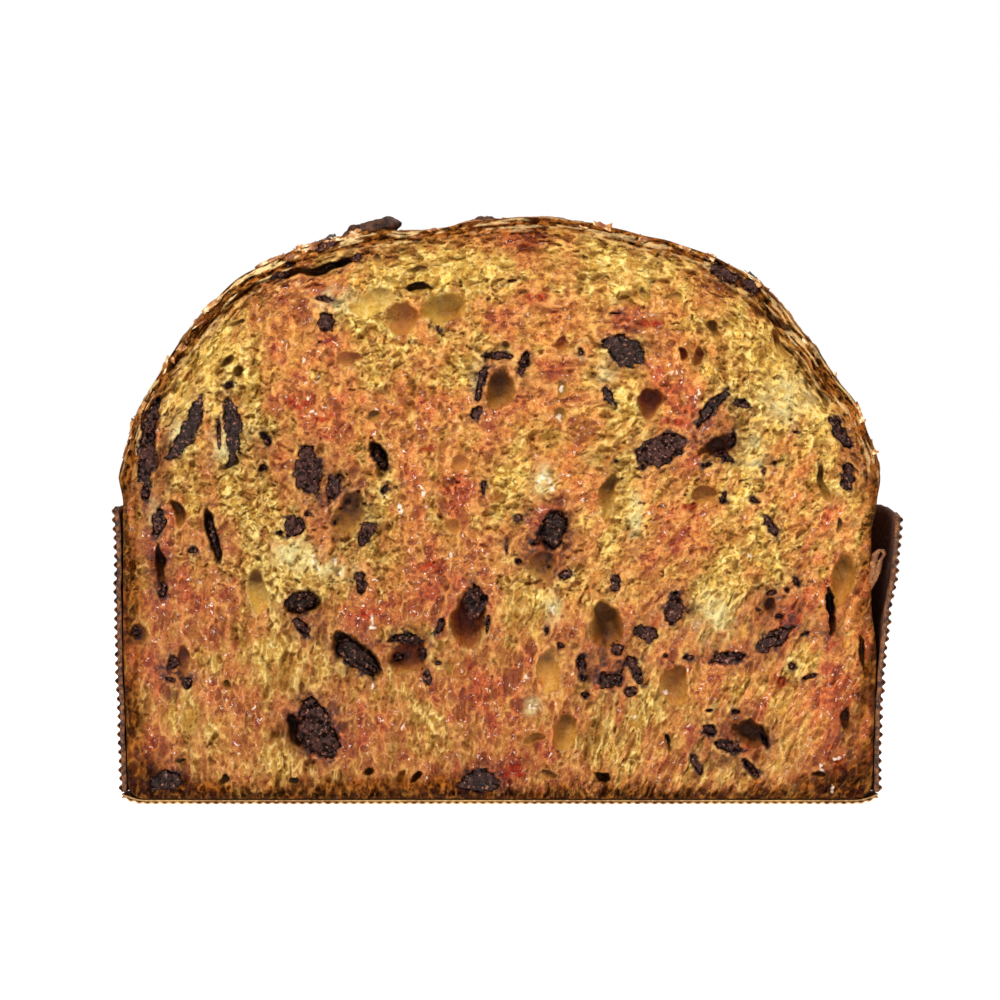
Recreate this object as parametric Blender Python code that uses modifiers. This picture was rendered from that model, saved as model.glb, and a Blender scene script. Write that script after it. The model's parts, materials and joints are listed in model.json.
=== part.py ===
"""Half of a chocolate panettone, cut down the middle and standing in its fluted paper case.

The cut face looks along -Y and +X is to its right. The loaf's own axis stands in the cut plane.
The origin is on the underside of the case, in the middle of the half-round base.
"""

import math
import random

import bmesh
import bpy
from mathutils import Matrix, Vector, noise

MM = 0.001

# Driving sizes of the loaf
CUT_PLANE = -40.0 * MM
LOAF_RADIUS = 92.0 * MM
SIDE_TOP = 74.0 * MM
LOAF_TOP = 143.5 * MM
DOME_POWER = 2.1
FOOT_CORNER = 7.0 * MM
FOOT_STEPS = 3
LOAF_STEPS = 36
SIDE_BANDS = 6
DOME_BANDS = 17

# Driving sizes of the paper case
BOARD = 1.1 * MM
BOARD_FLAT_RADIUS = 86.0 * MM
BOARD_RADIUS = 92.4 * MM
BOARD_LIFT = 1.6 * MM
BOARD_RIM_BANDS = 3
CASE_INNER = 92.6 * MM
CASE_FOOT = 3.1 * MM
CASE_TOP = 72.4 * MM
LINER = 0.6 * MM
FLUTE = 0.9 * MM
FLUTES = 32
CASE_TAPER = 1.1 * MM
CASE_STEPS = 20
CASE_INNER_BANDS = 7

# Relief of the crust: how far it stands out, the height of its peak and its spread, in millimetres
CROWN_SWELL = (1.3, 130.0, 7.0)
SHOULDER_SWELL = (1.4, 81.0, 10.0)
WAIST_DIP = (-1.0, 107.0, 9.0)
WAIST_TILT = 0.6
FLAP_SWELL = (1.8, 122.0, 9.0)
CREST_DIP = (-1.9, 143.0, 6.0)

# Where the flap and the crest's dip lie along X, and their spread, in millimetres
FLAP_ALONG = (-66.2, 23.0)
CREST_DIP_ALONG = (-18.0, 11.0)

# Uneven waves of the crust: their height and length in millimetres, and a corner of the noise field
BROAD_WAVE = (1.1, 24.0, (3.1, 0.4, 7.7))
WRINKLE = (0.8, 9.0, (8.3, 5.2, 1.9))
RELIEF_START = 73.5 * MM
RELIEF_BLEND = 7.0 * MM

# Where the loaf has drawn back from the paper, between these heights, over this turn in radians
SHRINK = 1.4 * MM
SHRINK_TURN = 0.45
SHRINK_START = 36.0 * MM
SHRINK_FULL = 50.0 * MM
SHRINK_FADE = 66.0 * MM
SHRINK_END = 74.0 * MM

# How far the paper has come away at the right-hand cut, its slack elsewhere, and its uneven rim
PEEL = 3.6 * MM
PEEL_TURN = 0.42
PEEL_START = 30.0 * MM
PEEL_FULL = 72.0 * MM
SLACK = 0.35 * MM
SLACK_WAVES = 5.0
SLACK_START = 40.0 * MM
SLACK_FULL = 70.0 * MM
RIM_WAVES = ((0.5 * MM, 4.0, 0.6), (0.3 * MM, 9.0, 0.0))
TORN_DIP = 2.2 * MM
TORN_TURN = 0.2
TAPER_END = 45.0 * MM

CLEARANCE = 0.3 * MM
SOCKET_GAP = 0.5 * MM
CUTTER_REACH = 3.0 * MM
MERGE = 0.01 * MM
CUT_MERGE = 0.02 * MM
RAGGED = 0.13

# Sections from front to back: share of the full width, share of the depth
PIECE_SECTION = ((0.0, 0.0), (0.9, 0.0), (1.0, 0.22), (0.72, 0.75), (0.0, 1.0))
BUBBLE_SECTION = ((1.0, 0.12), (0.74, 0.7), (0.0, 1.0))
BUBBLE_MOUTH = 1.04
LUMP_SECTION = ((0.0, -0.5), (0.68, -0.42), (1.0, 0.02), (0.74, 0.36), (0.0, 0.5))
SHOULDER_GAP = 0.7 * SOCKET_GAP

# Pieces shorter than the first length in millimetres get few sides, longer than the second many
SIDES_BY_LENGTH = ((5.0, 7), (9.0, 8), (math.inf, 10))

# Chocolate in the cut face: name, x, z, length, width, lean in degrees, bend, depth of its front
# behind the cut, depth of its back. All lengths are in millimetres.
FACE_CHOCOLATE = (
    ("crust_band", -84.7, 87.2, 26.5, 4.2, 84, 1.9, 0.8, 9.0),
    ("side_stub", -83.2, 69.2, 8.6, 3.3, 84, 0.0, 0.6, 6.0),
    ("strip_west", -77.0, 92.4, 17.6, 4.3, 63, -1.7, 0.3, 7.0),
    ("strip_east", -66.9, 91.4, 17.6, 3.7, 94, -2.2, 0.5, 8.0),
    ("gap_lining", -69.8, 64.8, 13.4, 2.3, 102, 0.0, 3.0, 9.0),
    ("blob_high", -46.4, 81.0, 12.8, 6.8, 96, 0.6, 0.8, 9.0),
    ("blob_side", -40.8, 77.0, 6.6, 4.0, 72, 0.0, 0.5, 6.5),
    ("cube_a", -50.0, 68.2, 6.0, 4.8, 90, 0.0, 0.4, 6.0),
    ("pocket_west", -48.7, 49.4, 9.0, 5.8, 18, 0.0, 3.5, 11.0),
    ("shards_west", -48.6, 43.2, 5.4, 3.2, -42, 0.0, 0.8, 5.5),
    ("pit_west", -88.9, 42.2, 3.2, 2.8, 60, 0.0, 0.9, 5.0),
    ("pearl_a", -80.1, 34.5, 3.7, 3.4, 60, 0.0, 0.8, 5.5),
    ("foot_west", -81.6, 5.5, 8.8, 5.6, 0, 0.0, 0.6, 7.5),
    ("crumbled", -43.6, 18.4, 16.6, 9.6, 116, 0.8, 1.2, 11.0),
    ("pocket_mid", -35.2, 36.4, 13.4, 6.0, -42, -0.6, 4.0, 12.0),
    ("arch", -22.6, 40.1, 7.8, 2.9, -4, 0.9, 1.6, 7.5),
    ("plum", -14.6, 43.5, 4.8, 2.7, 70, 0.0, 0.4, 4.5),
    ("cave_roof", -6.0, 49.8, 8.2, 6.4, 96, 0.0, 1.8, 10.0),
    ("shade", -34.0, 53.9, 6.4, 3.4, 97, 0.0, 0.4, 5.5),
    ("crescent", -32.9, 66.6, 7.6, 3.4, 66, -0.5, 0.7, 7.0),
    ("chute_end", -29.6, 84.8, 7.4, 3.0, -63, 0.0, 4.5, 11.0),
    ("soot", -42.2, 117.9, 5.4, 4.6, 90, 0.0, 0.9, 7.0),
    ("ring_west", -4.5, 102.8, 9.2, 3.0, 75, 0.2, 0.5, 7.5),
    ("ring_roof", -0.6, 109.5, 8.0, 2.4, -3, 0.0, 0.8, 6.5),
    ("ring_east", 5.7, 107.6, 5.8, 2.9, 76, 0.0, 0.8, 6.5),
    ("slab", 30.5, 110.6, 12.4, 6.8, -34, 0.5, 0.4, 8.0),
    ("bean", 26.7, 99.8, 5.2, 2.7, -56, 0.0, 0.4, 5.5),
    ("hook", 52.3, 97.2, 12.0, 4.0, 48, 0.5, 0.8, 8.0),
    ("hook_tip", 59.2, 97.7, 4.6, 2.8, -22, 0.0, 0.4, 5.0),
    ("boulder", 39.6, 86.8, 14.4, 8.2, 18, 0.4, 0.3, 10.0),
    ("ledge_foot", 55.2, 84.6, 4.4, 2.4, -20, 0.0, 1.0, 7.5),
    ("edge_high", 83.0, 91.4, 10.2, 3.3, -56, -0.5, 0.5, 6.5),
    ("edge_low", 84.9, 79.9, 8.4, 4.0, 88, 0.0, 0.8, 7.0),
    ("pocket_east", 13.2, 67.2, 9.8, 6.2, 80, 0.0, 3.5, 12.0),
    ("splinter_b", 66.1, 68.0, 6.2, 2.3, 118, 0.0, 0.3, 5.0),
    ("dice", 28.3, 54.2, 4.6, 3.1, 86, 0.0, 0.4, 5.5),
    ("cluster_mid", 27.0, 30.0, 7.2, 5.0, 4, 0.0, 0.8, 8.0),
    ("cluster_east", 32.9, 32.6, 8.4, 3.2, -66, 0.4, 0.8, 7.0),
    ("cluster_west", 20.6, 33.2, 8.6, 2.5, 96, 0.9, 0.7, 6.5),
)

# The wide strip low on the right is two shards end to end, the pair below the syrup is two more.
LOW_CHOCOLATE = (
    ("long_west", 56.0, 35.9, 9.8, 3.4, 9, 0.2, 0.3, 6.0),
    ("long_east", 66.9, 40.9, 11.2, 4.0, 34, -0.6, 0.3, 7.0),
    ("pair_high", 42.6, 48.1, 7.0, 5.5, 80, 0.0, 0.3, 7.0),
    ("pair_low", 35.3, 42.2, 6.4, 4.4, -20, 0.0, 0.3, 6.5),
    ("arch_mass", 56.3, 14.1, 8.2, 3.4, -15, 0.0, 0.7, 7.5),
    ("knot", 51.2, 18.2, 4.2, 3.0, -45, 0.0, 0.5, 5.0),
    ("foot_mid", -4.7, 5.5, 11.0, 5.8, 0, 0.2, 0.4, 8.0),
)

# Open bubbles in the crumb: x, z, length, width, lean, depth, in millimetres and degrees.
BUBBLES = (
    (-13.8, 121.3, 10.6, 8.0, 8, 6.0),
    (-24.2, 118.9, 9.2, 7.8, 26, 5.0),
    (-31.0, 122.9, 12.2, 5.6, 20, 2.2),
    (-20.4, 126.5, 8.0, 1.7, 0, 5.0),
    (-65.0, 107.2, 6.0, 4.4, 60, 4.0),
    (-44.0, 131.0, 21.0, 2.5, 14, 7.0),
    (-62.4, 125.2, 13.0, 1.2, 33, 4.0),
    (68.0, 117.7, 8.0, 2.1, -42, 6.0),
    (52.1, 115.9, 5.4, 3.4, -38, 4.0),
    (68.0, 112.2, 7.4, 2.1, -56, 3.5),
    (0.2, 101.2, 11.6, 6.0, 84, 5.5),
    (36.8, 98.0, 8.6, 5.8, 60, 5.0),
    (44.3, 110.4, 4.2, 2.7, 100, 3.5),
    (48.3, 108.6, 4.8, 3.0, 84, 3.0),
    (53.0, 87.0, 8.8, 5.4, 12, 6.0),
    (49.8, 75.8, 6.6, 4.6, 8, 4.0),
    (26.3, 75.6, 11.8, 4.2, 85, 4.5),
    (78.8, 78.8, 9.4, 2.9, 97, 4.5),
    (83.4, 53.0, 17.6, 6.2, 92, 7.0),
    (66.1, 48.5, 4.4, 2.7, 62, 4.0),
    (-78.4, 70.9, 8.2, 3.6, 105, 4.5),
    (-83.2, 58.6, 11.0, 2.5, 90, 7.0),
    (-70.0, 65.2, 15.0, 2.8, 102, 6.0),
    (-48.8, 49.4, 10.4, 6.9, 20, 7.0),
    (-59.0, 52.4, 11.6, 5.0, 97, 3.5),
    (-35.2, 36.5, 15.6, 7.4, -42, 8.0),
    (-22.6, 36.3, 9.6, 8.0, 10, 6.0),
    (-7.6, 45.4, 16.4, 9.2, 88, 7.5),
    (-36.8, 71.2, 12.2, 7.2, 72, 5.0),
    (-29.6, 85.0, 9.6, 4.3, -63, 8.0),
    (-49.6, 18.0, 9.6, 3.6, 112, 6.5),
    (12.9, 67.4, 11.6, 8.0, 80, 8.0),
    (10.2, 58.4, 8.0, 6.0, 10, 3.5),
    (25.8, 43.6, 11.6, 8.8, 92, 7.0),
    (42.8, 29.8, 10.6, 7.8, 92, 4.5),
    (15.7, 18.2, 9.0, 5.4, 82, 4.0),
    (61.2, 17.4, 9.2, 7.0, -10, 6.0),
    (25.1, 6.8, 4.4, 3.4, 0, 6.0),
    (-20.3, 6.7, 4.2, 2.7, 72, 5.0),
    (-31.9, 8.0, 3.8, 2.8, 30, 4.5),
    (84.1, 20.3, 6.6, 2.2, 95, 3.5),
)

# Chocolate lumps on the crust at the cut: name, x, z, length, thickness, lean, reach behind the cut
EDGE_LUMPS = (
    ("crest_west", -31.6, 140.4, 15.0, 4.6, 13, 9.0),
    ("crest_tail", -42.0, 136.6, 6.6, 2.6, 24, 6.0),
    ("crown_west", -3.8, 142.6, 7.6, 2.0, 4, 8.0),
    ("shoulder_east", 54.8, 129.6, 8.6, 3.6, -22, 7.0),
    ("shoulder_tip", 61.4, 127.0, 5.6, 3.2, -40, 6.0),
)

# Lumps on the crust behind the cut, spread over the dome by rule: degrees round it and up it, then
# length in millimetres, width as a share of the length, and thickness from the width and a seat
DOME_LUMPS = 5
DOME_LUMP_SEED = 11
DOME_LUMP_TURN = (24.0, 156.0)
DOME_LUMP_CLIMB = (24.0, 66.0)
DOME_LUMP_SPIN = 0.7
DOME_LUMP_LENGTH = (7.0, 13.0)
DOME_LUMP_WIDTH = (0.5, 0.75)
DOME_LUMP_FLATNESS = 0.4
DOME_LUMP_SEAT = 1.0

# Linear colours and roughness of the three finishes
CRUMB_FINISH = ((0.66, 0.42, 0.09), 0.75)
CHOCOLATE_FINISH = ((0.03, 0.016, 0.016), 0.4)
PAPER_FINISH = ((0.13, 0.05, 0.02), 0.85)


def clear_objects():
    for item in list(bpy.data.objects):
        bpy.data.objects.remove(item, do_unlink=True)


def new_collection(name):
    group = bpy.data.collections.new(name)
    bpy.context.scene.collection.children.link(group)
    return group


def finish(name, colour, roughness):
    """A plain material: colour is linear red, green and blue."""
    material = bpy.data.materials.new(name)
    material.use_nodes = True
    shader = material.node_tree.nodes["Principled BSDF"]
    shader.inputs["Base Color"].default_value = (*colour, 1.0)
    shader.inputs["Roughness"].default_value = roughness
    shader.inputs["Metallic"].default_value = 0.0
    return material


def add_object(name, bm, group, material=None):
    mesh = bpy.data.meshes.new(name)
    bm.to_mesh(mesh)
    bm.free()
    body = bpy.data.objects.new(name, mesh)
    group.objects.link(body)
    if material:
        mesh.materials.append(material)
        mesh.shade_smooth()
        mesh.set_sharp_from_angle(angle=math.radians(40))
    else:
        body.hide_render = True
        body.display_type = "WIRE"
    return body


def evaluated_bmesh(body):
    bm = bmesh.new()
    graph = bpy.context.evaluated_depsgraph_get()
    bm.from_object(body, graph)
    return bm


def smooth_step(value):
    value = min(1.0, max(0.0, value))
    return value * value * (3.0 - 2.0 * value)


def bell(value, middle, spread):
    return math.exp(-(((value - middle) / spread) ** 2))


def case_taper(height):
    """How much narrower the case and the loaf's side are at a height than at the rim."""
    return CASE_TAPER * (1.0 - smooth_step(height / TAPER_END))


def half_turned(profile, steps, group):
    """Turns a profile of (radius, height) pairs, listed top to bottom, half way round the loaf's axis.

    Both flat ends are filled, so the result is one closed body with its ends in the cut plane.
    """
    bm = bmesh.new()
    points = [bm.verts.new((radius, 0.0, height)) for radius, height in profile]
    for first, second in zip(points, points[1:]):
        bm.edges.new((first, second))
    if profile[0][0] > 0.0:
        bm.edges.new((points[-1], points[0]))
    outline = add_object("outline", bm, group)
    turn = outline.modifiers.new("half turn", "SCREW")
    turn.axis = "Z"
    turn.angle = math.pi
    turn.steps = steps
    turn.render_steps = steps
    turn.use_merge_vertices = True
    turn.merge_threshold = MERGE
    body = evaluated_bmesh(outline)
    bpy.data.objects.remove(outline, do_unlink=True)
    bmesh.ops.remove_doubles(body, verts=body.verts, dist=MERGE)
    open_edges = [edge for edge in body.edges if edge.is_boundary]
    bmesh.ops.holes_fill(body, edges=open_edges, sides=0)
    bmesh.ops.recalc_face_normals(body, faces=body.faces)
    bmesh.ops.translate(body, verts=body.verts, vec=(0.0, CUT_PLANE, 0.0))
    return body


def keep_ends_flat(bm):
    for vert in bm.verts:
        if vert.co.y - CUT_PLANE < MERGE:
            vert.co.y = CUT_PLANE


def loaf_profile():
    foot = BOARD + CLEARANCE
    points = [(0.0, foot)]
    for step in range(FOOT_STEPS + 1):
        angle = math.pi / 2.0 * step / FOOT_STEPS
        across = LOAF_RADIUS - FOOT_CORNER * (1.0 - math.sin(angle))
        points.append((across, foot + FOOT_CORNER * (1.0 - math.cos(angle))))
    side_foot = foot + FOOT_CORNER
    for band in range(1, SIDE_BANDS + 1):
        points.append((LOAF_RADIUS, side_foot + (SIDE_TOP - side_foot) * band / SIDE_BANDS))
    for band in range(1, DOME_BANDS):
        angle = math.pi / 2.0 * band / DOME_BANDS
        across = LOAF_RADIUS * math.cos(angle) ** (2.0 / DOME_POWER)
        rise = (LOAF_TOP - SIDE_TOP) * math.sin(angle) ** (2.0 / DOME_POWER)
        points.append((across, SIDE_TOP + rise))
    points.append((0.0, LOAF_TOP))
    return points[::-1]


def dome_normal(across, height):
    """The turned form's outward direction, as parts along the radius and up."""
    if height <= SIDE_TOP:
        return 1.0, 0.0
    out = (across / LOAF_RADIUS) ** (DOME_POWER - 1.0) / LOAF_RADIUS
    up = ((height - SIDE_TOP) / (LOAF_TOP - SIDE_TOP)) ** (DOME_POWER - 1.0) / (LOAF_TOP - SIDE_TOP)
    length = math.hypot(out, up)
    return out / length, up / length


def standing(height, feature):
    amount, middle, spread = feature
    return amount * bell(height, middle, spread)


def wave(place, feature):
    amount, length, corner = feature
    return amount * noise.noise(place / (length * MM) + Vector(corner))


def crust_relief(place):
    """How far the crust stands out of the turned form: its swells, its dips and its wrinkles."""
    height = place.z / MM
    along = place.x / MM
    free = smooth_step((place.z - RELIEF_START) / RELIEF_BLEND)
    swell = standing(height, CROWN_SWELL) + standing(height, SHOULDER_SWELL)
    dip = standing(height, WAIST_DIP) * (1.0 + WAIST_TILT * place.x / LOAF_RADIUS)
    flap = standing(height, FLAP_SWELL) * bell(along, *FLAP_ALONG)
    crest = standing(height, CREST_DIP) * bell(along, *CREST_DIP_ALONG)
    uneven = wave(place, BROAD_WAVE) + wave(place, WRINKLE)
    return MM * free * (swell + dip + flap + crest + uneven)


def side_shrink(place):
    """How far the loaf has drawn back from the case where the paper has come away, on the right."""
    round_the_loaf = math.atan2(place.y - CUT_PLANE, place.x)
    opening = smooth_step((place.z - SHRINK_START) / (SHRINK_FULL - SHRINK_START))
    closing = 1.0 - smooth_step((place.z - SHRINK_FADE) / (SHRINK_END - SHRINK_FADE))
    return SHRINK * bell(round_the_loaf, 0.0, SHRINK_TURN) * opening * closing


def shape_loaf(bm):
    for vert in bm.verts:
        across = math.hypot(vert.co.x, vert.co.y - CUT_PLANE)
        out, up = dome_normal(across, vert.co.z)
        stand = crust_relief(vert.co) - side_shrink(vert.co)
        if across > MERGE:
            grown = across + stand * out - case_taper(vert.co.z)
            vert.co.x *= grown / across
            vert.co.y = CUT_PLANE + (vert.co.y - CUT_PLANE) * grown / across
        if vert.co.z > SIDE_TOP:
            vert.co.z += stand * up
    keep_ends_flat(bm)


def face_frame(x, z, lean):
    """Axes of a shape in the cut face: along it, across it, and back into the loaf."""
    turn = math.radians(lean)
    along = Vector((math.cos(turn), 0.0, math.sin(turn)))
    across = Vector((-math.sin(turn), 0.0, math.cos(turn)))
    inward = Vector((0.0, 1.0, 0.0))
    return frame_from(along, across, inward, Vector((x * MM, CUT_PLANE, z * MM)))


def edge_frame(x, z, lean, reach):
    """Axes of a lump on the crust at the cut: along the outline, back from the cut, and down."""
    turn = math.radians(lean)
    along = Vector((math.cos(turn), 0.0, math.sin(turn)))
    across = Vector((0.0, 1.0, 0.0))
    inward = Vector((math.sin(turn), 0.0, -math.cos(turn)))
    place = Vector((x * MM, CUT_PLANE + 0.5 * reach * MM, z * MM))
    return frame_from(along, across, inward, place)


def dome_frame(turn, climb, spin):
    """Axes of a lump on the dome: two directions on the crust, and down into it."""
    across = LOAF_RADIUS * math.cos(climb) ** (2.0 / DOME_POWER)
    height = SIDE_TOP + (LOAF_TOP - SIDE_TOP) * math.sin(climb) ** (2.0 / DOME_POWER)
    place = Vector((across * math.cos(turn), CUT_PLANE + across * math.sin(turn), height))
    out, up = dome_normal(across, height)
    outward = Vector((out * math.cos(turn), out * math.sin(turn), up))
    place += outward * crust_relief(place)
    level = Vector((-math.sin(turn), math.cos(turn), 0.0))
    along = Matrix.Rotation(spin, 3, outward) @ level
    return frame_from(along, outward.cross(along), -outward, place)


def frame_from(along, across, inward, place):
    frame = Matrix((along, across, inward)).transposed().to_4x4()
    frame.translation = place
    return frame


def ragged_body(name, sides, half_length, half_width, bend, rings):
    """A closed uneven body from a sphere of five rings, each given its share of the width and its depth."""
    bm = bmesh.new()
    bmesh.ops.create_uvsphere(bm, u_segments=sides, v_segments=4, radius=1.0)
    draw = random.Random(name)
    reach = [1.0 + draw.uniform(-RAGGED, RAGGED) for _ in range(sides)]
    for vert in bm.verts:
        ring = round(math.acos(max(-1.0, min(1.0, vert.co.z))) / (math.pi / 4.0))
        share, depth = rings[ring]
        angle = math.atan2(vert.co.y, vert.co.x)
        side = round(angle / (math.tau / sides)) % sides
        along = share * reach[side] * math.cos(angle)
        across = share * reach[side] * math.sin(angle)
        swing = bend * (1.0 - along * along)
        vert.co = Vector((along * half_length, across * half_width + swing, depth))
    return bm


def place_body(bm, frame):
    bmesh.ops.transform(bm, matrix=frame, verts=bm.verts)
    bmesh.ops.recalc_face_normals(bm, faces=bm.faces)


def sides_for(length):
    return next(sides for limit, sides in SIDES_BY_LENGTH if length < limit)


def socket_section(rings, mouth):
    """The section of the socket round a piece, with a straight mouth that opens it to the outside."""
    belly, shoulder, end = rings[2:]
    return [
        (0.0, mouth),
        (1.0, mouth),
        belly,
        (shoulder[0], shoulder[1] + SHOULDER_GAP),
        (0.0, end[1] + SOCKET_GAP),
    ]


def add_inlaid(spec, parts, cutters, material):
    """A chocolate piece cut through with the loaf, and the socket that it leaves in the crumb."""
    name, x, z, length, width, lean, bend, front, back = spec
    frame = face_frame(x, z, lean)
    sides = sides_for(length)
    rings = [(share, (front + depth * (back - front)) * MM) for share, depth in PIECE_SECTION]
    body = ragged_body(name, sides, 0.5 * length * MM, 0.5 * width * MM, bend * MM, rings)
    place_body(body, frame)
    add_object("choc_" + name, body, parts, material)

    half_length = 0.5 * length * MM + SOCKET_GAP
    half_width = 0.5 * width * MM + SOCKET_GAP
    section = socket_section(rings, -CUTTER_REACH)
    socket = ragged_body(name, sides, half_length, half_width, bend * MM, section)
    place_body(socket, frame)
    add_object("socket_" + name, socket, cutters)


def add_bubble(index, spec, cutters):
    """A rounded hollow that the knife has opened."""
    x, z, length, width, lean, depth = spec
    rings = [(0.0, -CUTTER_REACH), (BUBBLE_MOUTH, -CUTTER_REACH)]
    rings += [(share, part * depth * MM) for share, part in BUBBLE_SECTION]
    name = f"bubble_{index:02d}"
    cup = ragged_body(name, sides_for(length), 0.5 * length * MM, 0.5 * width * MM, 0.0, rings)
    place_body(cup, face_frame(x, z, lean))
    add_object(name, cup, cutters)


def add_lump(name, frame, length, width, thick, parts, cutters, material):
    """A chocolate lump baked onto the crust, and the seat that it lies in."""
    sides = sides_for(length)
    rings = [(share, depth * thick * MM) for share, depth in LUMP_SECTION]
    body = ragged_body(name, sides, 0.5 * length * MM, 0.5 * width * MM, 0.0, rings)
    place_body(body, frame)
    keep_behind_cut(body)
    add_object("choc_" + name, body, parts, material)

    half_length = 0.5 * length * MM + SOCKET_GAP
    half_width = 0.5 * width * MM + SOCKET_GAP
    section = socket_section(rings, rings[0][1] - CUTTER_REACH)
    seat = ragged_body(name, sides, half_length, half_width, 0.0, section)
    place_body(seat, frame)
    add_object("seat_" + name, seat, cutters)


def keep_behind_cut(bm):
    for vert in bm.verts:
        vert.co.y = max(vert.co.y, CUT_PLANE)


def add_chocolate(parts, cutters, material):
    for spec in FACE_CHOCOLATE + LOW_CHOCOLATE:
        add_inlaid(spec, parts, cutters, material)
    for name, x, z, length, thick, lean, reach in EDGE_LUMPS:
        frame = edge_frame(x, z, lean, reach)
        add_lump(name, frame, length, reach, thick, parts, cutters, material)
    draw = random.Random(DOME_LUMP_SEED)
    for index in range(DOME_LUMPS):
        first, last = DOME_LUMP_TURN
        turn = math.radians(first + (last - first) * (index + draw.uniform(0.2, 0.8)) / DOME_LUMPS)
        climb = math.radians(draw.uniform(*DOME_LUMP_CLIMB))
        frame = dome_frame(turn, climb, draw.uniform(-DOME_LUMP_SPIN, DOME_LUMP_SPIN))
        length = draw.uniform(*DOME_LUMP_LENGTH)
        width = length * draw.uniform(*DOME_LUMP_WIDTH)
        thick = DOME_LUMP_FLATNESS * width + DOME_LUMP_SEAT
        add_lump(f"dome_{index}", frame, length, width, thick, parts, cutters, material)


def biggest_piece(bm):
    """Deletes any crumb that the sockets have cut free."""
    todo = set(bm.verts)
    pieces = []
    while todo:
        seed = todo.pop()
        piece = {seed}
        border = [seed]
        while border:
            vert = border.pop()
            for edge in vert.link_edges:
                other = edge.other_vert(vert)
                if other in todo:
                    todo.discard(other)
                    piece.add(other)
                    border.append(other)
        pieces.append(piece)
    pieces.sort(key=len)
    loose = [vert for piece in pieces[:-1] for vert in piece]
    bmesh.ops.delete(bm, geom=loose, context="VERTS")


def add_bread(parts, cutters, material):
    for index, spec in enumerate(BUBBLES):
        add_bubble(index, spec, cutters)
    bm = half_turned(loaf_profile(), LOAF_STEPS, cutters)
    shape_loaf(bm)
    whole = add_object("whole_loaf", bm, parts, material)
    cut = whole.modifiers.new("sockets", "BOOLEAN")
    cut.operation = "DIFFERENCE"
    cut.operand_type = "COLLECTION"
    cut.collection = cutters
    cut.solver = "EXACT"
    bread = evaluated_bmesh(whole)
    bpy.data.objects.remove(whole, do_unlink=True)
    bmesh.ops.remove_doubles(bread, verts=bread.verts, dist=CUT_MERGE)
    biggest_piece(bread)
    bmesh.ops.triangulate(bread, faces=bread.faces)
    add_object("bread", bread, parts, material)


def paper_bulge(place):
    """How far the case has come away from the loaf, most at its right-hand cut edge."""
    round_the_loaf = math.atan2(place.y - CUT_PLANE, place.x)
    peel = PEEL * smooth_step((place.z - PEEL_START) / (PEEL_FULL - PEEL_START))
    slack = SLACK * smooth_step((place.z - SLACK_START) / (SLACK_FULL - SLACK_START))
    uneven = 1.0 + math.sin(SLACK_WAVES * round_the_loaf)
    return peel * bell(round_the_loaf, 0.0, PEEL_TURN) + slack * uneven


def rim_height(place):
    """How the height of the case's torn and wavy upper edge changes round the loaf."""
    round_the_loaf = math.atan2(place.y - CUT_PLANE, place.x)
    waves = sum(size * math.sin(count * round_the_loaf + start) for size, count, start in RIM_WAVES)
    return waves - TORN_DIP * bell(round_the_loaf, 0.0, TORN_TURN)


def wall_profile():
    """A smooth liner inside, and on its outer side flutes that run round the loaf."""
    flute_pitch = (CASE_TOP - CASE_FOOT) / FLUTES
    outer = []
    for index in range(2 * FLUTES + 1):
        height = CASE_TOP - 0.5 * flute_pitch * index
        crest = FLUTE if index % 2 else 0.0
        outer.append((CASE_INNER + LINER + crest, height))
    inner = []
    for index in range(CASE_INNER_BANDS + 1):
        height = CASE_FOOT + (CASE_TOP - CASE_FOOT) * index / CASE_INNER_BANDS
        inner.append((CASE_INNER, height))
    return outer + inner


def add_case_wall(parts, helpers, material):
    bm = half_turned(wall_profile(), CASE_STEPS, helpers)
    for vert in bm.verts:
        across = math.hypot(vert.co.x, vert.co.y - CUT_PLANE)
        share = (vert.co.z - CASE_FOOT) / (CASE_TOP - CASE_FOOT)
        grown = across - case_taper(vert.co.z) + paper_bulge(vert.co)
        vert.co.z += share * share * rim_height(vert.co)
        vert.co.x *= grown / across
        vert.co.y = CUT_PLANE + (vert.co.y - CUT_PLANE) * grown / across
    keep_ends_flat(bm)
    add_object("case_wall", bm, parts, material)


def board_profile():
    """A flat board whose rim turns up under the wall, listed round its section from the top centre."""
    upper = []
    lower = []
    for index in range(BOARD_RIM_BANDS + 1):
        share = index / BOARD_RIM_BANDS
        across = BOARD_FLAT_RADIUS + (BOARD_RADIUS - BOARD_FLAT_RADIUS) * share
        lift = BOARD_LIFT * share * share
        upper.append((across, BOARD + lift))
        lower.append((across, lift))
    return [(0.0, BOARD)] + upper + lower[::-1] + [(0.0, 0.0)]


def add_case_base(parts, helpers, material):
    bm = half_turned(board_profile(), CASE_STEPS, helpers)
    keep_ends_flat(bm)
    add_object("case_base", bm, parts, material)


def build():
    clear_objects()
    parts = new_collection("panettone")
    cutters = new_collection("cutters")
    helpers = new_collection("helpers")
    crumb = finish("baked crumb", *CRUMB_FINISH)
    chocolate = finish("dark chocolate", *CHOCOLATE_FINISH)
    paper = finish("fluted baking paper", *PAPER_FINISH)
    add_chocolate(parts, cutters, chocolate)
    add_bread(parts, cutters, crumb)
    add_case_wall(parts, helpers, paper)
    add_case_base(parts, helpers, paper)


build()
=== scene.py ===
import json
import math
import random

import bmesh
import bpy
import numpy as np
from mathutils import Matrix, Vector, kdtree, noise


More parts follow.
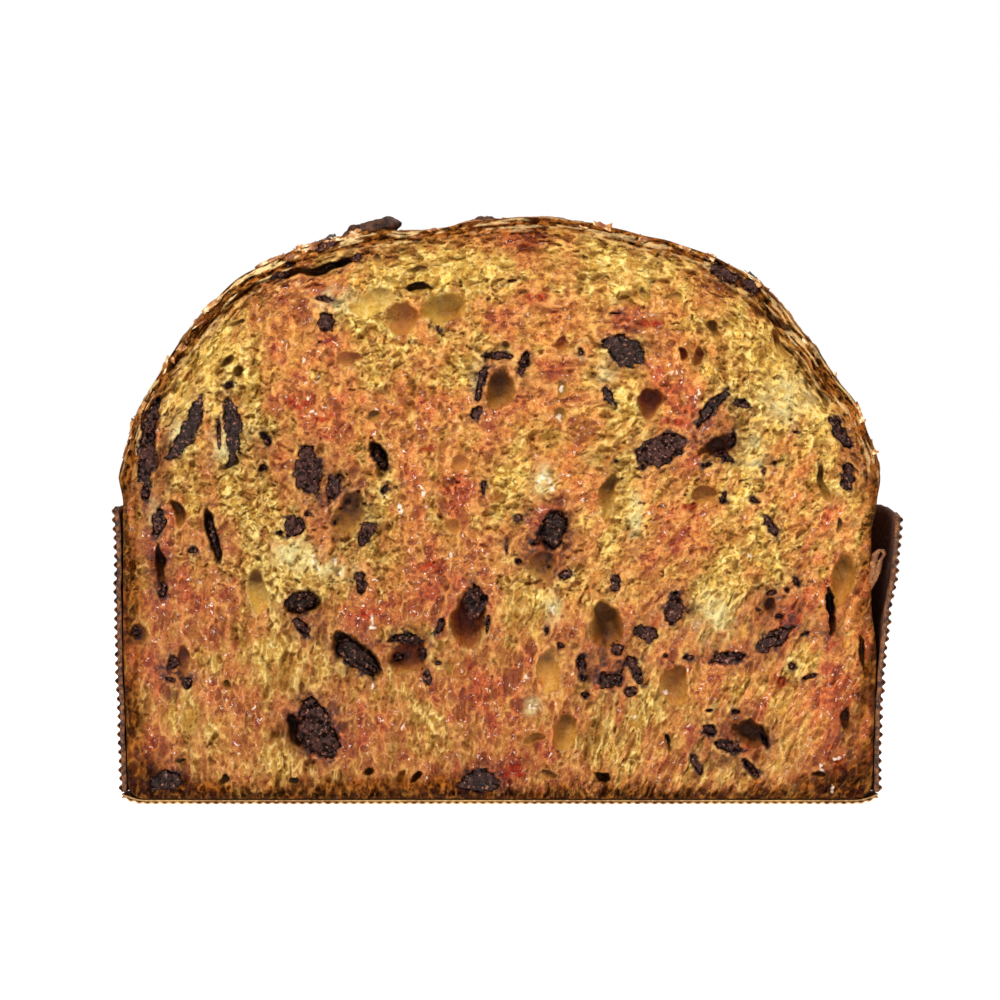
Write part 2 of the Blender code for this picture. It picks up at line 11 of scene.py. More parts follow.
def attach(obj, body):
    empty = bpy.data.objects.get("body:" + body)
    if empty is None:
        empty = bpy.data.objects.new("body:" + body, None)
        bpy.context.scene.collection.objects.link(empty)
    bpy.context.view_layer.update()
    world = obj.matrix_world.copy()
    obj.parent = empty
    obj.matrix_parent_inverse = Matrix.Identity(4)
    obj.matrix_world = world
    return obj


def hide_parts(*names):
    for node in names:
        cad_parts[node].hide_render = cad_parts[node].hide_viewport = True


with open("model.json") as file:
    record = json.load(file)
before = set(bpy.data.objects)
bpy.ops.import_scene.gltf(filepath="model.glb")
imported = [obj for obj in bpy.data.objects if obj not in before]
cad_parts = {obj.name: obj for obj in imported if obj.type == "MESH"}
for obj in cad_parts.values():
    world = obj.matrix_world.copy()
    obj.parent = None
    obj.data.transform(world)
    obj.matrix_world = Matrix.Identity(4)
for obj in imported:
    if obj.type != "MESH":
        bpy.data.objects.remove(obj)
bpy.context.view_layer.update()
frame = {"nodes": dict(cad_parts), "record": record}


# Outline of the loaf: a half turn of a straight side and a rounded dome, with the swells, dips and
# wrinkles that it baked into. The crumb, the crust and the flakes all follow it. Sizes in millimetres.
CUT = -40.0
RADIUS = 92.0
SIDE_TOP = 74.0
TOP = 143.5
POWER = 2.1
FOOT = 1.4
CORNER = 4.0
TAPER = 1.1
TAPER_END = 45.0
SHRINK = 1.4
SHOULDER = 112.0


def ease(value):
    value = np.clip(value, 0.0, 1.0)
    return value * value * (3.0 - 2.0 * value)


def bell(value, middle, spread):
    return np.exp(-(((value - middle) / spread) ** 2))


def case_taper(height):
    return TAPER * (1.0 - ease(height / TAPER_END))


def waves(places, length, corner=(0.0, 0.0, 0.0)):
    """Smooth noise at many places, of a wave length in millimetres, from -1 to 1."""
    shifted = places / length + np.array(corner)
    return np.array([noise.noise(place) for place in shifted.tolist()])


def loaf_profile(side_steps, dome_steps):
    """Radius and height from the foot to the top of the dome, before the crust's relief."""
    arc = np.linspace(0.0, 0.5 * math.pi, 13)
    across = [RADIUS - CORNER + CORNER * np.sin(arc)]
    height = [FOOT + CORNER - CORNER * np.cos(arc)]
    side = np.linspace(FOOT + CORNER, SIDE_TOP, side_steps + 1)[1:]
    across.append(np.full(side_steps, RADIUS))
    height.append(side)
    climb = np.linspace(0.0, 0.5 * math.pi, dome_steps + 1)[1:]
    across.append(RADIUS * np.maximum(np.cos(climb), 0.0) ** (2.0 / POWER))
    height.append(SIDE_TOP + (TOP - SIDE_TOP) * np.sin(climb) ** (2.0 / POWER))
    return np.concatenate(across), np.concatenate(height)


def loaf_surface(turn, across, height):
    """The crust's own place for a turn round the loaf and a point of the profile."""
    x = across * np.cos(turn)
    y = CUT + across * np.sin(turn)
    places = np.stack((x, y, height), axis=1)
    swell = 1.3 * bell(height, 130.0, 7.0) + 1.4 * bell(height, 81.0, 10.0)
    swell -= (1.0 + 0.6 * x / RADIUS) * bell(height, 107.0, 9.0)
    swell += 1.8 * bell(x, -66.2, 23.0) * bell(height, 122.0, 9.0)
    swell -= 1.9 * bell(x, -18.0, 11.0) * bell(height, 143.0, 6.0)
    swell += 1.1 * waves(places, 24.0, (3.1, 0.4, 7.7))
    swell += 0.8 * waves(places, 9.0, (8.3, 5.2, 1.9))
    opening = ease((height - 36.0) / 14.0) * (1.0 - ease((height - 66.0) / 8.0))
    shrink = SHRINK * bell(turn, 0.0, 0.45) * opening
    stand = ease((height - 73.5) / 7.0) * swell - shrink
    rise = np.clip((height - SIDE_TOP) / (TOP - SIDE_TOP), 0.0, 1.0)
    out = (across / RADIUS) ** (POWER - 1.0) / RADIUS
    up = rise ** (POWER - 1.0) / (TOP - SIDE_TOP)
    length = np.hypot(out, up)
    grown = across + stand * out / length - case_taper(height)
    grown = np.where(across > 0.01, grown, 0.0)
    return grown * np.cos(turn), CUT + grown * np.sin(turn), height + stand * up / length


across, height = loaf_profile(300, 500)
left_x, _, left_z = loaf_surface(np.full(across.shape, math.pi), across, height)
right_x, _, right_z = loaf_surface(np.zeros(across.shape), across, height)
left_line = np.stack((left_x, left_z), axis=1)
right_line = np.stack((right_x, right_z), axis=1)
dome_line = np.concatenate((left_line, right_line[::-1][1:]))


# The crumb: an open, stringy egg dough with dark chocolate and fruit syrup, cut with a bread knife.
# Bubbles are cups with smooth walls, the foam between them is fine and torn, and its cells lie flat
# under the crust and stand tall low down.
FACE_COLUMNS = 720
FACE_ROWS = 520
FACE_STRIPS = 4

# Metres in a millimetre
MM = 0.001

# Bubbles: x, z, length, width, lean, depth, how much painted shade darkens them inside, and how red they are
# inside
BUBBLES = (
    (-13.8, 121.3, 10.6, 8, 8, 5, 0.3, 0),
    (-24.2, 118.9, 9.2, 7.8, 26, 4.2, 0.28, 0.5),
    (-31, 122.9, 12.2, 5.6, 20, 2, 0.08, 0),
    (-20.4, 126.5, 8, 1.8, 0, 4.5, 0.95, 0.1),
    (-63.4, 106, 4.4, 3, 70, 3.6, 0.6, 0.1),
    (-66.8, 108.4, 4.2, 2.2, 50, 3.4, 0.6, 0.1),
    (-44, 131, 21, 2.5, 14, 6.5, 1, 0.1),
    (-62.4, 125.2, 13, 1.2, 33, 4, 0.9, 0),
    (68, 117.7, 8, 2.1, -42, 6, 1, 0.5),
    (52.1, 115.9, 5.4, 3.4, -38, 3.6, 0.4, 0.1),
    (68, 112.2, 7.4, 2.3, -56, 2.6, 0.25, 0.2),
    (0.2, 101.2, 11.6, 6, 84, 5, 0.45, 0.2),
    (36.8, 98, 8.6, 5.8, 60, 4.6, 0.6, 0.8),
    (44.3, 110.4, 4.2, 2.7, 100, 3.2, 0.5, 1),
    (48.3, 108.6, 4.8, 3, 84, 2.8, 0.3, 0.8),
    (53, 87, 8.8, 5.4, 12, 5.6, 0.8, 0.5),
    (49.8, 75.8, 6.6, 4.6, 8, 3.4, 0.35, 0.6),
    (26.3, 75.6, 11.8, 4.2, 85, 4, 0.3, 0),
    (78.8, 78.8, 9.4, 2.9, 97, 4, 0.4, 0),
    (83.6, 54.6, 14.6, 6.2, 86, 4.6, 0.12, 0.15),
    (81, 47.4, 12, 2.6, 98, 6.5, 1, 0.3),
    (66.1, 48.5, 4.4, 2.7, 62, 3.4, 0.6, 0.5),
    (-78.4, 70.9, 8.2, 3.6, 105, 3.8, 0.6, 0.3),
    (-83.2, 58.6, 11, 2.5, 90, 6, 0.6, 0.4),
    (-70, 65.2, 15, 2.8, 102, 6, 1, 0.2),
    (-48.8, 49.4, 10.4, 6.9, 20, 7, 1, 0),
    (-59, 52.4, 11.6, 5, 97, 3, 0.25, 0),
    (-35.2, 36.5, 15.6, 7.4, -42, 8, 1, 0),
    (-22.6, 36.3, 9.6, 8, 10, 5.6, 0.5, 0.8),
    (-7.6, 45.4, 16.4, 9.2, 88, 6.6, 0.6, 0.9),
    (-36.8, 71.2, 12.2, 7.2, 72, 4.2, 0.4, 0.1),
    (-29.6, 85, 9.6, 4.3, -63, 7.5, 1, 0),
    (-49.6, 18, 9.6, 3.6, 112, 6, 0.8, 0.2),
    (12.9, 67.4, 11.6, 8, 80, 7.5, 0.95, 0.2),
    (10.2, 58.4, 8, 6, 10, 3, 0.4, 0.2),
    (25.8, 43.6, 11.6, 8.8, 92, 6.2, 0.6, 0.1),
    (42.8, 29.8, 10.6, 7.8, 92, 4, 0.35, 0.3),
    (15.7, 18.2, 9, 5.4, 82, 3.4, 0.3, 0.1),
    (61.2, 17.4, 9.2, 7, -10, 5.4, 0.8, 0.1),
    (25.1, 6.8, 4.4, 3.4, 0, 5.4, 1, 0),
    (-20.3, 6.7, 4.2, 2.7, 72, 4.4, 0.8, 0),
    (-31.9, 8, 3.8, 2.8, 30, 4, 0.7, 0),
    (84.1, 20.3, 6.6, 2.2, 95, 3.2, 0.6, 0.4),
    (35.8, 124.6, 3.6, 2.2, -28, 1.8, 0.4, 0),
    (-31.2, 94.6, 4, 3.2, 0, 1.6, 0.45, 0.1),
    (-12.2, 68.2, 4.4, 4.2, 0, 1.8, 0.3, 0.5),
    (-10, 83.6, 5, 4, 0, 1.5, 0.2, 0.6),
    (9, 16.8, 5.4, 2.4, 18, 2, 0.5, 0.3),
    (15.2, 112.4, 3.8, 2.8, 0, 1.8, 0.3, 1),
    (-20.4, 130.4, 7.4, 2.1, 0, 2, 0.5, 0),
    (-36.8, 109, 8, 3.6, 8, 2, 0.35, 0.8),
    (-26.8, 128.2, 5, 2.4, -10, 1.5, 0.2, 0),
    (-34, 117.5, 3, 2, 0, 1.2, 0.3, 0),
    (-7, 127, 4, 3, 0, 1, 0.2, 0.3),
    (-30, 133, 2.5, 2, 0, 1.4, 0.5, 0.1),
    (13, 131.5, 2, 2, 0, 1.2, 0.4, 0.2),
    (21, 133, 2.5, 1.8, 0, 1.2, 0.3, 0.1),
    (42, 124, 4, 2, -20, 1.5, 0.3, 0.2),
    (12, 126, 2, 1.6, 0, 1, 0.3, 1),
    (15, 101.5, 3, 3.5, 0, 1.5, 0.4, 0),
    (14.5, 95.5, 3, 3.5, 0, 1.5, 0.4, 0),
    (12, 33, 12, 5.5, 95, 1.6, 0.15, 0.1),
    (1, 112, 3.5, 3, 0, 1.7, 0.6, 0.1),
    (-88, 42, 5, 4, 0, 2, 0.6, 0.6),
    (-77.5, 35, 8, 3, 90, 2, 0.5, 0.7),
    (-90, 58, 4, 2, 90, 2, 0.6, 0.3),
    (-23.7, 7, 5, 2.2, 100, 2, 0.7, 0),
    (12.5, 7.4, 4.5, 2, 0, 1.8, 0.5, 0.3),
    (78.5, 7, 4, 1.6, 0, 2, 0.9, 0.1),
    (63.6, 47, 2, 1.6, 0, 1.4, 0.6, 0.5),
    (88.6, 36.5, 11, 1.8, 105, 3, 1, 0.1),
    (-65, 117.5, 4, 1.6, 20, 1.8, 0.5, 0),
    (-66.5, 29.5, 3, 1.5, 90, 1.8, 0.6, 0.1),
    (-78, 10.6, 2, 1.4, 0, 1.5, 0.8, 0.1),
    (-67.6, 6, 3.6, 2, 0, 2.4, 0.9, 0),
    (-50, 5.4, 2.8, 1.6, 0, 2, 0.9, 0),
    (40.8, 15, 5.2, 1.2, 95, 2.4, 0.9, 0),
    (83, 68, 4, 1.5, 90, 1.6, 0.7, 0.1),
    (-38, 73, 5, 2.4, 10, 2.4, 0.6, 0.1),
)

# How far the fruit syrup has soaked in, over an even orange: less in the yellow places, more in the
# red ones. Each is x, z, half width, half height, amount.
SOAK_EVEN = 0.52
SOAKED = (
    (-14, 131, 22, 6, -0.5),
    (-33, 119, 6, 9, -0.42),
    (-70, 110, 9, 9, -0.34),
    (-61, 93, 8, 11, -0.38),
    (-63, 75, 7, 13, -0.52),
    (-78, 88, 5, 14, -0.26),
    (-51, 57, 8, 6, -0.56),
    (-55, 37, 8, 7, -0.52),
    (-71, 16, 5, 9, -0.34),
    (-53, 12, 9, 5, -0.42),
    (-41, 30, 5, 5, -0.28),
    (-30, 68, 4, 11, -0.38),
    (-31, 105, 4, 6, -0.34),
    (-10, 108, 6, 8, -0.32),
    (-17, 20, 4, 7, -0.34),
    (2, 77, 4, 8, -0.46),
    (31, 131, 11, 8, -0.5),
    (31, 100, 6, 10, -0.36),
    (31, 71, 6, 15, -0.42),
    (55, 50, 8, 12, -0.56),
    (57, 116, 9, 9, -0.46),
    (68, 103, 12, 9, -0.56),
    (70, 78, 9, 10, -0.16),
    (60, 88, 4, 12, -0.36),
    (80, 87, 5, 15, -0.36),
    (55, 72, 4, 10, -0.34),
    (67, 62, 5, 8, -0.26),
    (35, 25, 5, 5, -0.38),
    (28, 13, 7, 7, -0.46),
    (52, 9, 8, 4, -0.3),
    (68, 15, 4, 8, -0.34),
    (73, 34, 3, 3, -0.3),
    (10, 48, 5, 4, -0.3),
    (3, 45, 3, 6, -0.24),
    (-86, 70, 3, 6, -0.28),
    (-47, 97, 8, 7, 0.24),
    (-12, 54, 9, 8, 0.3),
    (-30, 46, 11, 4, 0.34),
    (-14, 76, 8, 7, 0.2),
    (4, 12, 8, 9, 0.34),
    (82, 10, 7, 7, 0.4),
    (-84, 36, 6, 9, 0.24),
    (-42, 18, 7, 9, 0.24),
    (68, 48, 9, 8, 0.26),
    (57, 36, 10, 4, 0.24),
    (12, 118, 13, 11, 0.16),
    (33, 117, 7, 4, 0.22),
    (45, 100, 8, 10, 0.22),
    (-50, 116, 8, 12, 0.1),
    (40, 62, 8, 11, 0.12),
    (-22, 98, 12, 10, 0.1),
    (5, 139, 6, 4, 0.4),
    (86, 32, 6, 12, 0.22),
    (-84, 60, 6, 14, 0.16),
    (8, 32, 8, 8, 0.16),
    (-10, 28, 9, 10, 0.2),
)

# Cherry-red syrup and pale, cottony crumb: x, z, half width, half height
SYRUP = (
    (-49, 98.5, 4, 2.6),
    (-43, 95, 2.8, 1.6),
    (-17, 58, 3.8, 1.8),
    (-33, 47, 3.8, 1.4),
    (3, 8, 3.4, 2.4),
    (15.2, 112, 1.4, 1.2),
    (37.8, 44.8, 2, 2),
    (37, 117.5, 3, 1),
    (-18, 87, 2, 1.4),
    (-14, 77, 1.8, 1.2),
    (82, 10, 3.8, 2.8),
    (5, 140, 3.6, 1.6),
    (42, 93.5, 3.4, 1.2),
    (9, 124, 3, 1.4),
    (46, 73, 2.4, 1.4),
    (68, 30, 2.4, 1.8),
)
PALE = (
    (-50, 61, 6, 4),
    (-40, 57, 5, 2.6),
    (-68, 88, 2.6, 5),
    (-79, 90, 2, 5),
    (26, 106, 2.4, 4),
    (10.5, 79, 3, 4),
    (13, 48, 2, 4),
    (8, 24, 2.4, 2),
    (70, 99, 7, 6),
    (62, 86, 3, 5),
    (-40, 123, 5, 3),
    (-6, 104, 1.4, 4),
    (-84.5, 71, 1.6, 4),
    (52, 46, 5, 6),
    (33, 70, 2, 6),
)

# Drops of syrup that stand on the crumb, glossy and painted near-white as a highlight: x, z, half width, half
# height
DROPS = (
    (-45.4, 59.4, 0.5, 1.4),
    (-44.2, 57.6, 0.4, 0.6),
    (-40.4, 59.6, 0.5, 1),
    (-39, 56.4, 0.4, 0.9),
    (-16.4, 56.6, 0.7, 0.9),
    (-31.2, 45, 0.6, 1.4),
    (-30.8, 43.2, 1, 0.4),
    (-24.6, 72.6, 0.4, 1),
    (-24, 71.6, 0.7, 0.4),
    (-28, 75.2, 0.9, 0.4),
    (-18.6, 76.4, 0.4, 0.9),
    (-12, 61, 0.4, 1),
    (-30.6, 55, 0.8, 0.4),
    (-20, 66, 0.4, 0.7),
    (82.2, 11.2, 1.4, 0.5),
    (78.6, 9, 0.5, 1),
    (81.2, 4, 0.5, 1.2),
    (84, 12.6, 0.5, 0.4),
    (67.8, 24, 0.5, 0.8),
    (39.2, 122.4, 1.1, 0.7),
    (10.6, 79.2, 1.8, 1.6),
    (12.6, 77.6, 0.8, 1.2),
    (8.2, 24, 0.8, 0.6),
    (13, 47.6, 0.6, 1.2),
    (40.8, 27.4, 0.8, 0.5),
    (33, 21.2, 0.6, 0.6),
    (-44.6, 17.4, 0.8, 0.5),
    (-31, 29, 0.5, 0.9),
    (15, 101.8, 0.7, 0.8),
    (14.6, 94.6, 0.8, 0.9),
    (-48, 108.6, 0.4, 0.9),
    (-44.2, 104.4, 0.8, 0.4),
    (-47, 99.6, 0.5, 0.6),
    (-45.6, 95.8, 0.9, 0.4),
    (7.2, 119.6, 0.4, 1.2),
    (-53, 113, 0.4, 0.7),
    (-58.6, 118, 0.5, 0.4),
    (48.6, 100.4, 0.5, 0.8),
    (44, 85.6, 0.6, 0.4),
    (-4, 50.4, 0.4, 0.8),
    (61, 61, 0.4, 0.6),
    (-70.6, 30.4, 0.4, 0.9),
    (-67, 26, 0.6, 0.4),
)

# Patches where the crumb is darker and browner: x, z, half width, half height, amount
DARKER_PATCHES = (
    (-40, 74, 8, 9, 0.5),
    (-44, 81, 6, 7, 0.5),
    (12, 61, 7, 7, 0.8),
    (12, 70, 6, 6, 0.6),
    (-46, 19, 8, 9, 1),
    (-83, 6, 9, 6, 1),
    (-7, 46, 5, 9, 0.5),
    (27, 35, 8, 9, 0.8),
    (43, 47, 6, 6, 0.5),
    (67, 46, 8, 8, 0.8),
    (59, 36, 10, 3, 0.6),
    (58, 15, 9, 7, 0.8),
    (81, 43, 3, 6, 0.8),
    (54, 92, 7, 9, 0.6),
    (39, 87, 9, 6, 0.5),
    (-48, 45, 6, 6, 0.7),
    (-35, 37, 9, 6, 0.5),
    (-22, 39, 6, 4, 0.6),
    (-84, 80, 4, 18, 0.5),
    (-83, 58, 4, 8, 0.7),
    (-80, 32, 4, 6, 0.8),
    (-89, 42, 3, 3, 0.8),
    (0, 104, 7, 8, 0.4),
    (31, 111, 7, 5, 0.4),
    (84, 18, 4, 10, 0.5),
    (80, 6, 9, 5, 0.7),
    (-59, 88, 4, 6, 0.3),
    (-5, 6, 9, 5, 0.7),
)

# Small chocolate that melted into the crumb: x, z, length, width, lean
CHIPS = (
    (-82.3, 52.2, 3.6, 2.2, 70),
    (-68.6, 90, 7.6, 1.5, 92),
    (-57.2, 89.3, 4.2, 2.3, -52),
    (-58, 82.2, 2.8, 2.3, 60),
    (-76.3, 29.7, 3.3, 2.5, 72),
    (-24.8, 35.9, 3.8, 3, 20),
    (-17.8, 30.9, 4.2, 2.5, 100),
    (-28.1, 77.3, 3.6, 2.8, 45),
    (-42.7, 123.4, 4.8, 1.7, -8),
    (-5.8, 95.6, 4, 2.5, 68),
    (57, 88.8, 4.6, 2.2, 84),
    (62.3, 74.3, 3.3, 1.9, -32),
    (28.7, 37.9, 3.5, 2.9, 60),
    (61.3, 8.8, 6.8, 2, -50),
    (-75, 62, 3, 2, 0),
    (-66.3, 102.2, 2.4, 2, 60),
    (-53.8, 66.5, 1.8, 1.6, 0),
    (-47, 71, 2, 1.8, 0),
    (-80.6, 30.6, 2.8, 1.6, -20),
    (-44, 113, 1.2, 1, 0),
    (-15, 116, 1.8, 1.3, -20),
    (-18.6, 37, 4, 1.6, 100),
    (-15, 34.5, 1.8, 1.3, 0),
    (-25.5, 77.5, 1.5, 1.2, 0),
    (-37, 74, 1.6, 1.3, 10),
    (-33, 73.5, 1.8, 1.3, 30),
    (-39, 72.3, 1.5, 1.2, 0),
    (-40.3, 69, 1.8, 1.3, 80),
    (-34.5, 76.5, 1.4, 1.2, 0),
    (-4, 77.5, 4, 1.4, 90),
    (-3, 44, 5, 1.6, 85),
    (1.7, 63, 4, 0.9, 90),
    (4.5, 70, 2.6, 2, 30),
    (4.5, 59.4, 2, 1.6, 0),
    (16, 56.2, 3.6, 2.8, 20),
    (12, 58, 1.5, 1.2, 0),
    (8.5, 63.7, 2, 1.1, 0),
    (19.7, 110.7, 2.2, 1.3, 95),
    (28, 120, 3, 0.9, 0),
    (3, 128, 2.5, 1, 0),
    (28.5, 83.8, 1.1, 1, 0),
    (34.5, 82.3, 3, 1.2, 10),
    (29.8, 79.8, 1.1, 1, 0),
    (54.6, 75, 3.6, 1.8, 70),
    (50.5, 83, 3.4, 1.4, 10),
    (67, 83.5, 1.2, 1, 0),
    (64.5, 81.3, 2, 0.9, 90),
    (66.2, 51.9, 3, 2, 20),
    (70, 52.5, 1.3, 1.1, 0),
    (72.4, 54.5, 3.4, 1.6, -60),
    (68, 46, 2.5, 2, 0),
    (74.5, 41.8, 3, 1, 20),
    (75.4, 31.2, 4.2, 1.6, 15),
    (71.3, 34, 2.8, 2.2, 0),
    (57.7, 22.7, 2.8, 2, 0),
    (51, 23, 2, 1.1, 0),
    (64.5, 16.5, 6, 1.8, -70),
    (48, 10, 5.4, 2.2, 115),
    (31.8, 27.8, 4.2, 2.8, 0),
    (21, 26.8, 2.8, 2.2, 0),
    (15, 39, 2.6, 1.8, -35),
    (11.5, 42.5, 2, 1.1, 90),
    (46.2, 36, 3.2, 1.6, 0),
    (40.5, 36.3, 1.6, 1.3, 0),
    (72, 91, 1.4, 1.1, 0),
    (71, 94, 1.2, 1, 0),
    (-54, 129, 4, 2.4, 20),
    (-51, 132, 3.6, 2, 20),
    (-38.5, 132.6, 3.4, 2, 15),
    (-35, 133.8, 2.6, 2, 20),
    (-42, 131.6, 2.8, 1.5, 15),
)
WALL_SLOPE = 0.62
SOCKET_DEPTH = 2.4
FRONT_OF_CHIP = 0.25


def soft_noise(u, v, seed):
    """Value noise from -1 to 1 on a lattice of random numbers."""
    lattice = np.random.default_rng(seed).uniform(-1.0, 1.0, (256, 256))
    column = np.floor(u).astype(int)
    row = np.floor(v).astype(int)
    right = ease(u - column)
    above = ease(v - row)
    low = lattice[column % 256, row % 256] * (1 - right) + lattice[(column + 1) % 256, row % 256] * right
    row = row + 1
    high = lattice[column % 256, row % 256] * (1 - right) + lattice[(column + 1) % 256, row % 256] * right
    return low * (1.0 - above) + high * above


def foam(u, v, seed):
    """Cells round scattered points: the way to the nearest over its size, the gap to the next, its draw."""
    spots = np.random.default_rng(seed).random((128, 128, 4))
    column = np.floor(u).astype(int)
    row = np.floor(v).astype(int)
    near = np.full(u.shape, 9.0)
    second = near.copy()
    draw = np.zeros(u.shape)
    for across_cells in (-1, 0, 1):
        for up_cells in (-1, 0, 1):
            spot = spots[(column + across_cells) % 128, (row + up_cells) % 128]
            far = np.hypot(u - column - across_cells - spot[:, 0], v - row - up_cells - spot[:, 1])
            far = far / (0.6 + 0.7 * spot[:, 2])
            closer = far < near
            second = np.where(closer, near, np.minimum(second, far))
            draw = np.where(closer, spot[:, 3], draw)
            near = np.where(closer, far, near)
    return near, second - near, draw


# Cells of the dry foam and shallow dimples of the soaked one: pitch, open share, size, depth
DRY_CELLS = ((4.0, 0.2, 0.5, 1.8), (2.0, 0.55, 0.58, 1.3), (1.15, 0.9, 0.64, 0.8))
DIMPLES = ((3.6, 0.42, 0.52, 1.0), (1.7, 0.5, 0.56, 0.6))


def crumb_foam(u, v, seed, sizes):
    """Depth in millimetres, painted shade in the open cells and painted highlights on their lips, for cells
    of several sizes.
    """
    depth = np.zeros(u.shape)
    dark = np.zeros(u.shape)
    lip_highlights = np.zeros(u.shape)
    for pitch, share, size, deep in sizes:
        bent_u = u / pitch + 0.6 * soft_noise(u / pitch * 1.3, v / pitch * 1.3, seed + 1)
        bent_v = v / pitch + 0.6 * soft_noise(u / pitch * 1.3, v / pitch * 1.3, seed + 2)
        near, gap, draw = foam(bent_u, bent_v, seed)
        is_open = (draw < share) * (0.5 + 0.5 * draw / share)
        hole = is_open * ease((size - near) / 0.22) * ease(gap / 0.14)
        depth += deep * hole
        # Painted shade darkens each open cell, and a painted highlight brightens the lip round it
        dark = np.maximum(dark, hole * (0.4 + 0.6 * ease((size - near) / size)))
        lip_highlights = np.maximum(lip_highlights, is_open * bell(near, size + 0.03, 0.11))
        seed += 10
    return depth, dark, lip_highlights * (1.0 - dark)


def in_ellipse(x, z, spec):
    """Share of the way from the middle of a leaning ellipse to its edge."""
    turn = math.radians(spec[4])
    along = (x - spec[0]) * math.cos(turn) + (z - spec[1]) * math.sin(turn)
    aside = (z - spec[1]) * math.cos(turn) - (x - spec[0]) * math.sin(turn)
    return np.hypot(2.0 * along / spec[2], 2.0 * aside / spec[3])


def blobs(x, z, spots, sharp=2.0):
    total = np.zeros(x.shape)
    for spot in spots:
        way = np.hypot((x - spot[0]) / spot[2], (z - spot[1]) / spot[3])
        total += (spot[4] if len(spot) > 4 else 1.0) * np.exp(-(way ** sharp))
    return total


def ragged(x, z):
    """Unevenness in millimetres of torn edges: of bubbles, and of chocolate in the crumb."""
    torn = 0.55 * soft_noise(x / 2.1, z / 2.1, 12) + 0.4 * soft_noise(x / 1.1, z / 1.1, 13)
    return torn + 0.25 * soft_noise(x / 0.55, z / 0.55, 14)


line_steps = np.hypot(*np.diff(dome_line, axis=0).T)
line_length = np.concatenate(([0.0], np.cumsum(line_steps)))
crust_tree = kdtree.KDTree(len(dome_line))
for index, point in enumerate(dome_line):
    crust_tree.insert((point[0], point[1], 0.0), index)
crust_tree.balance()


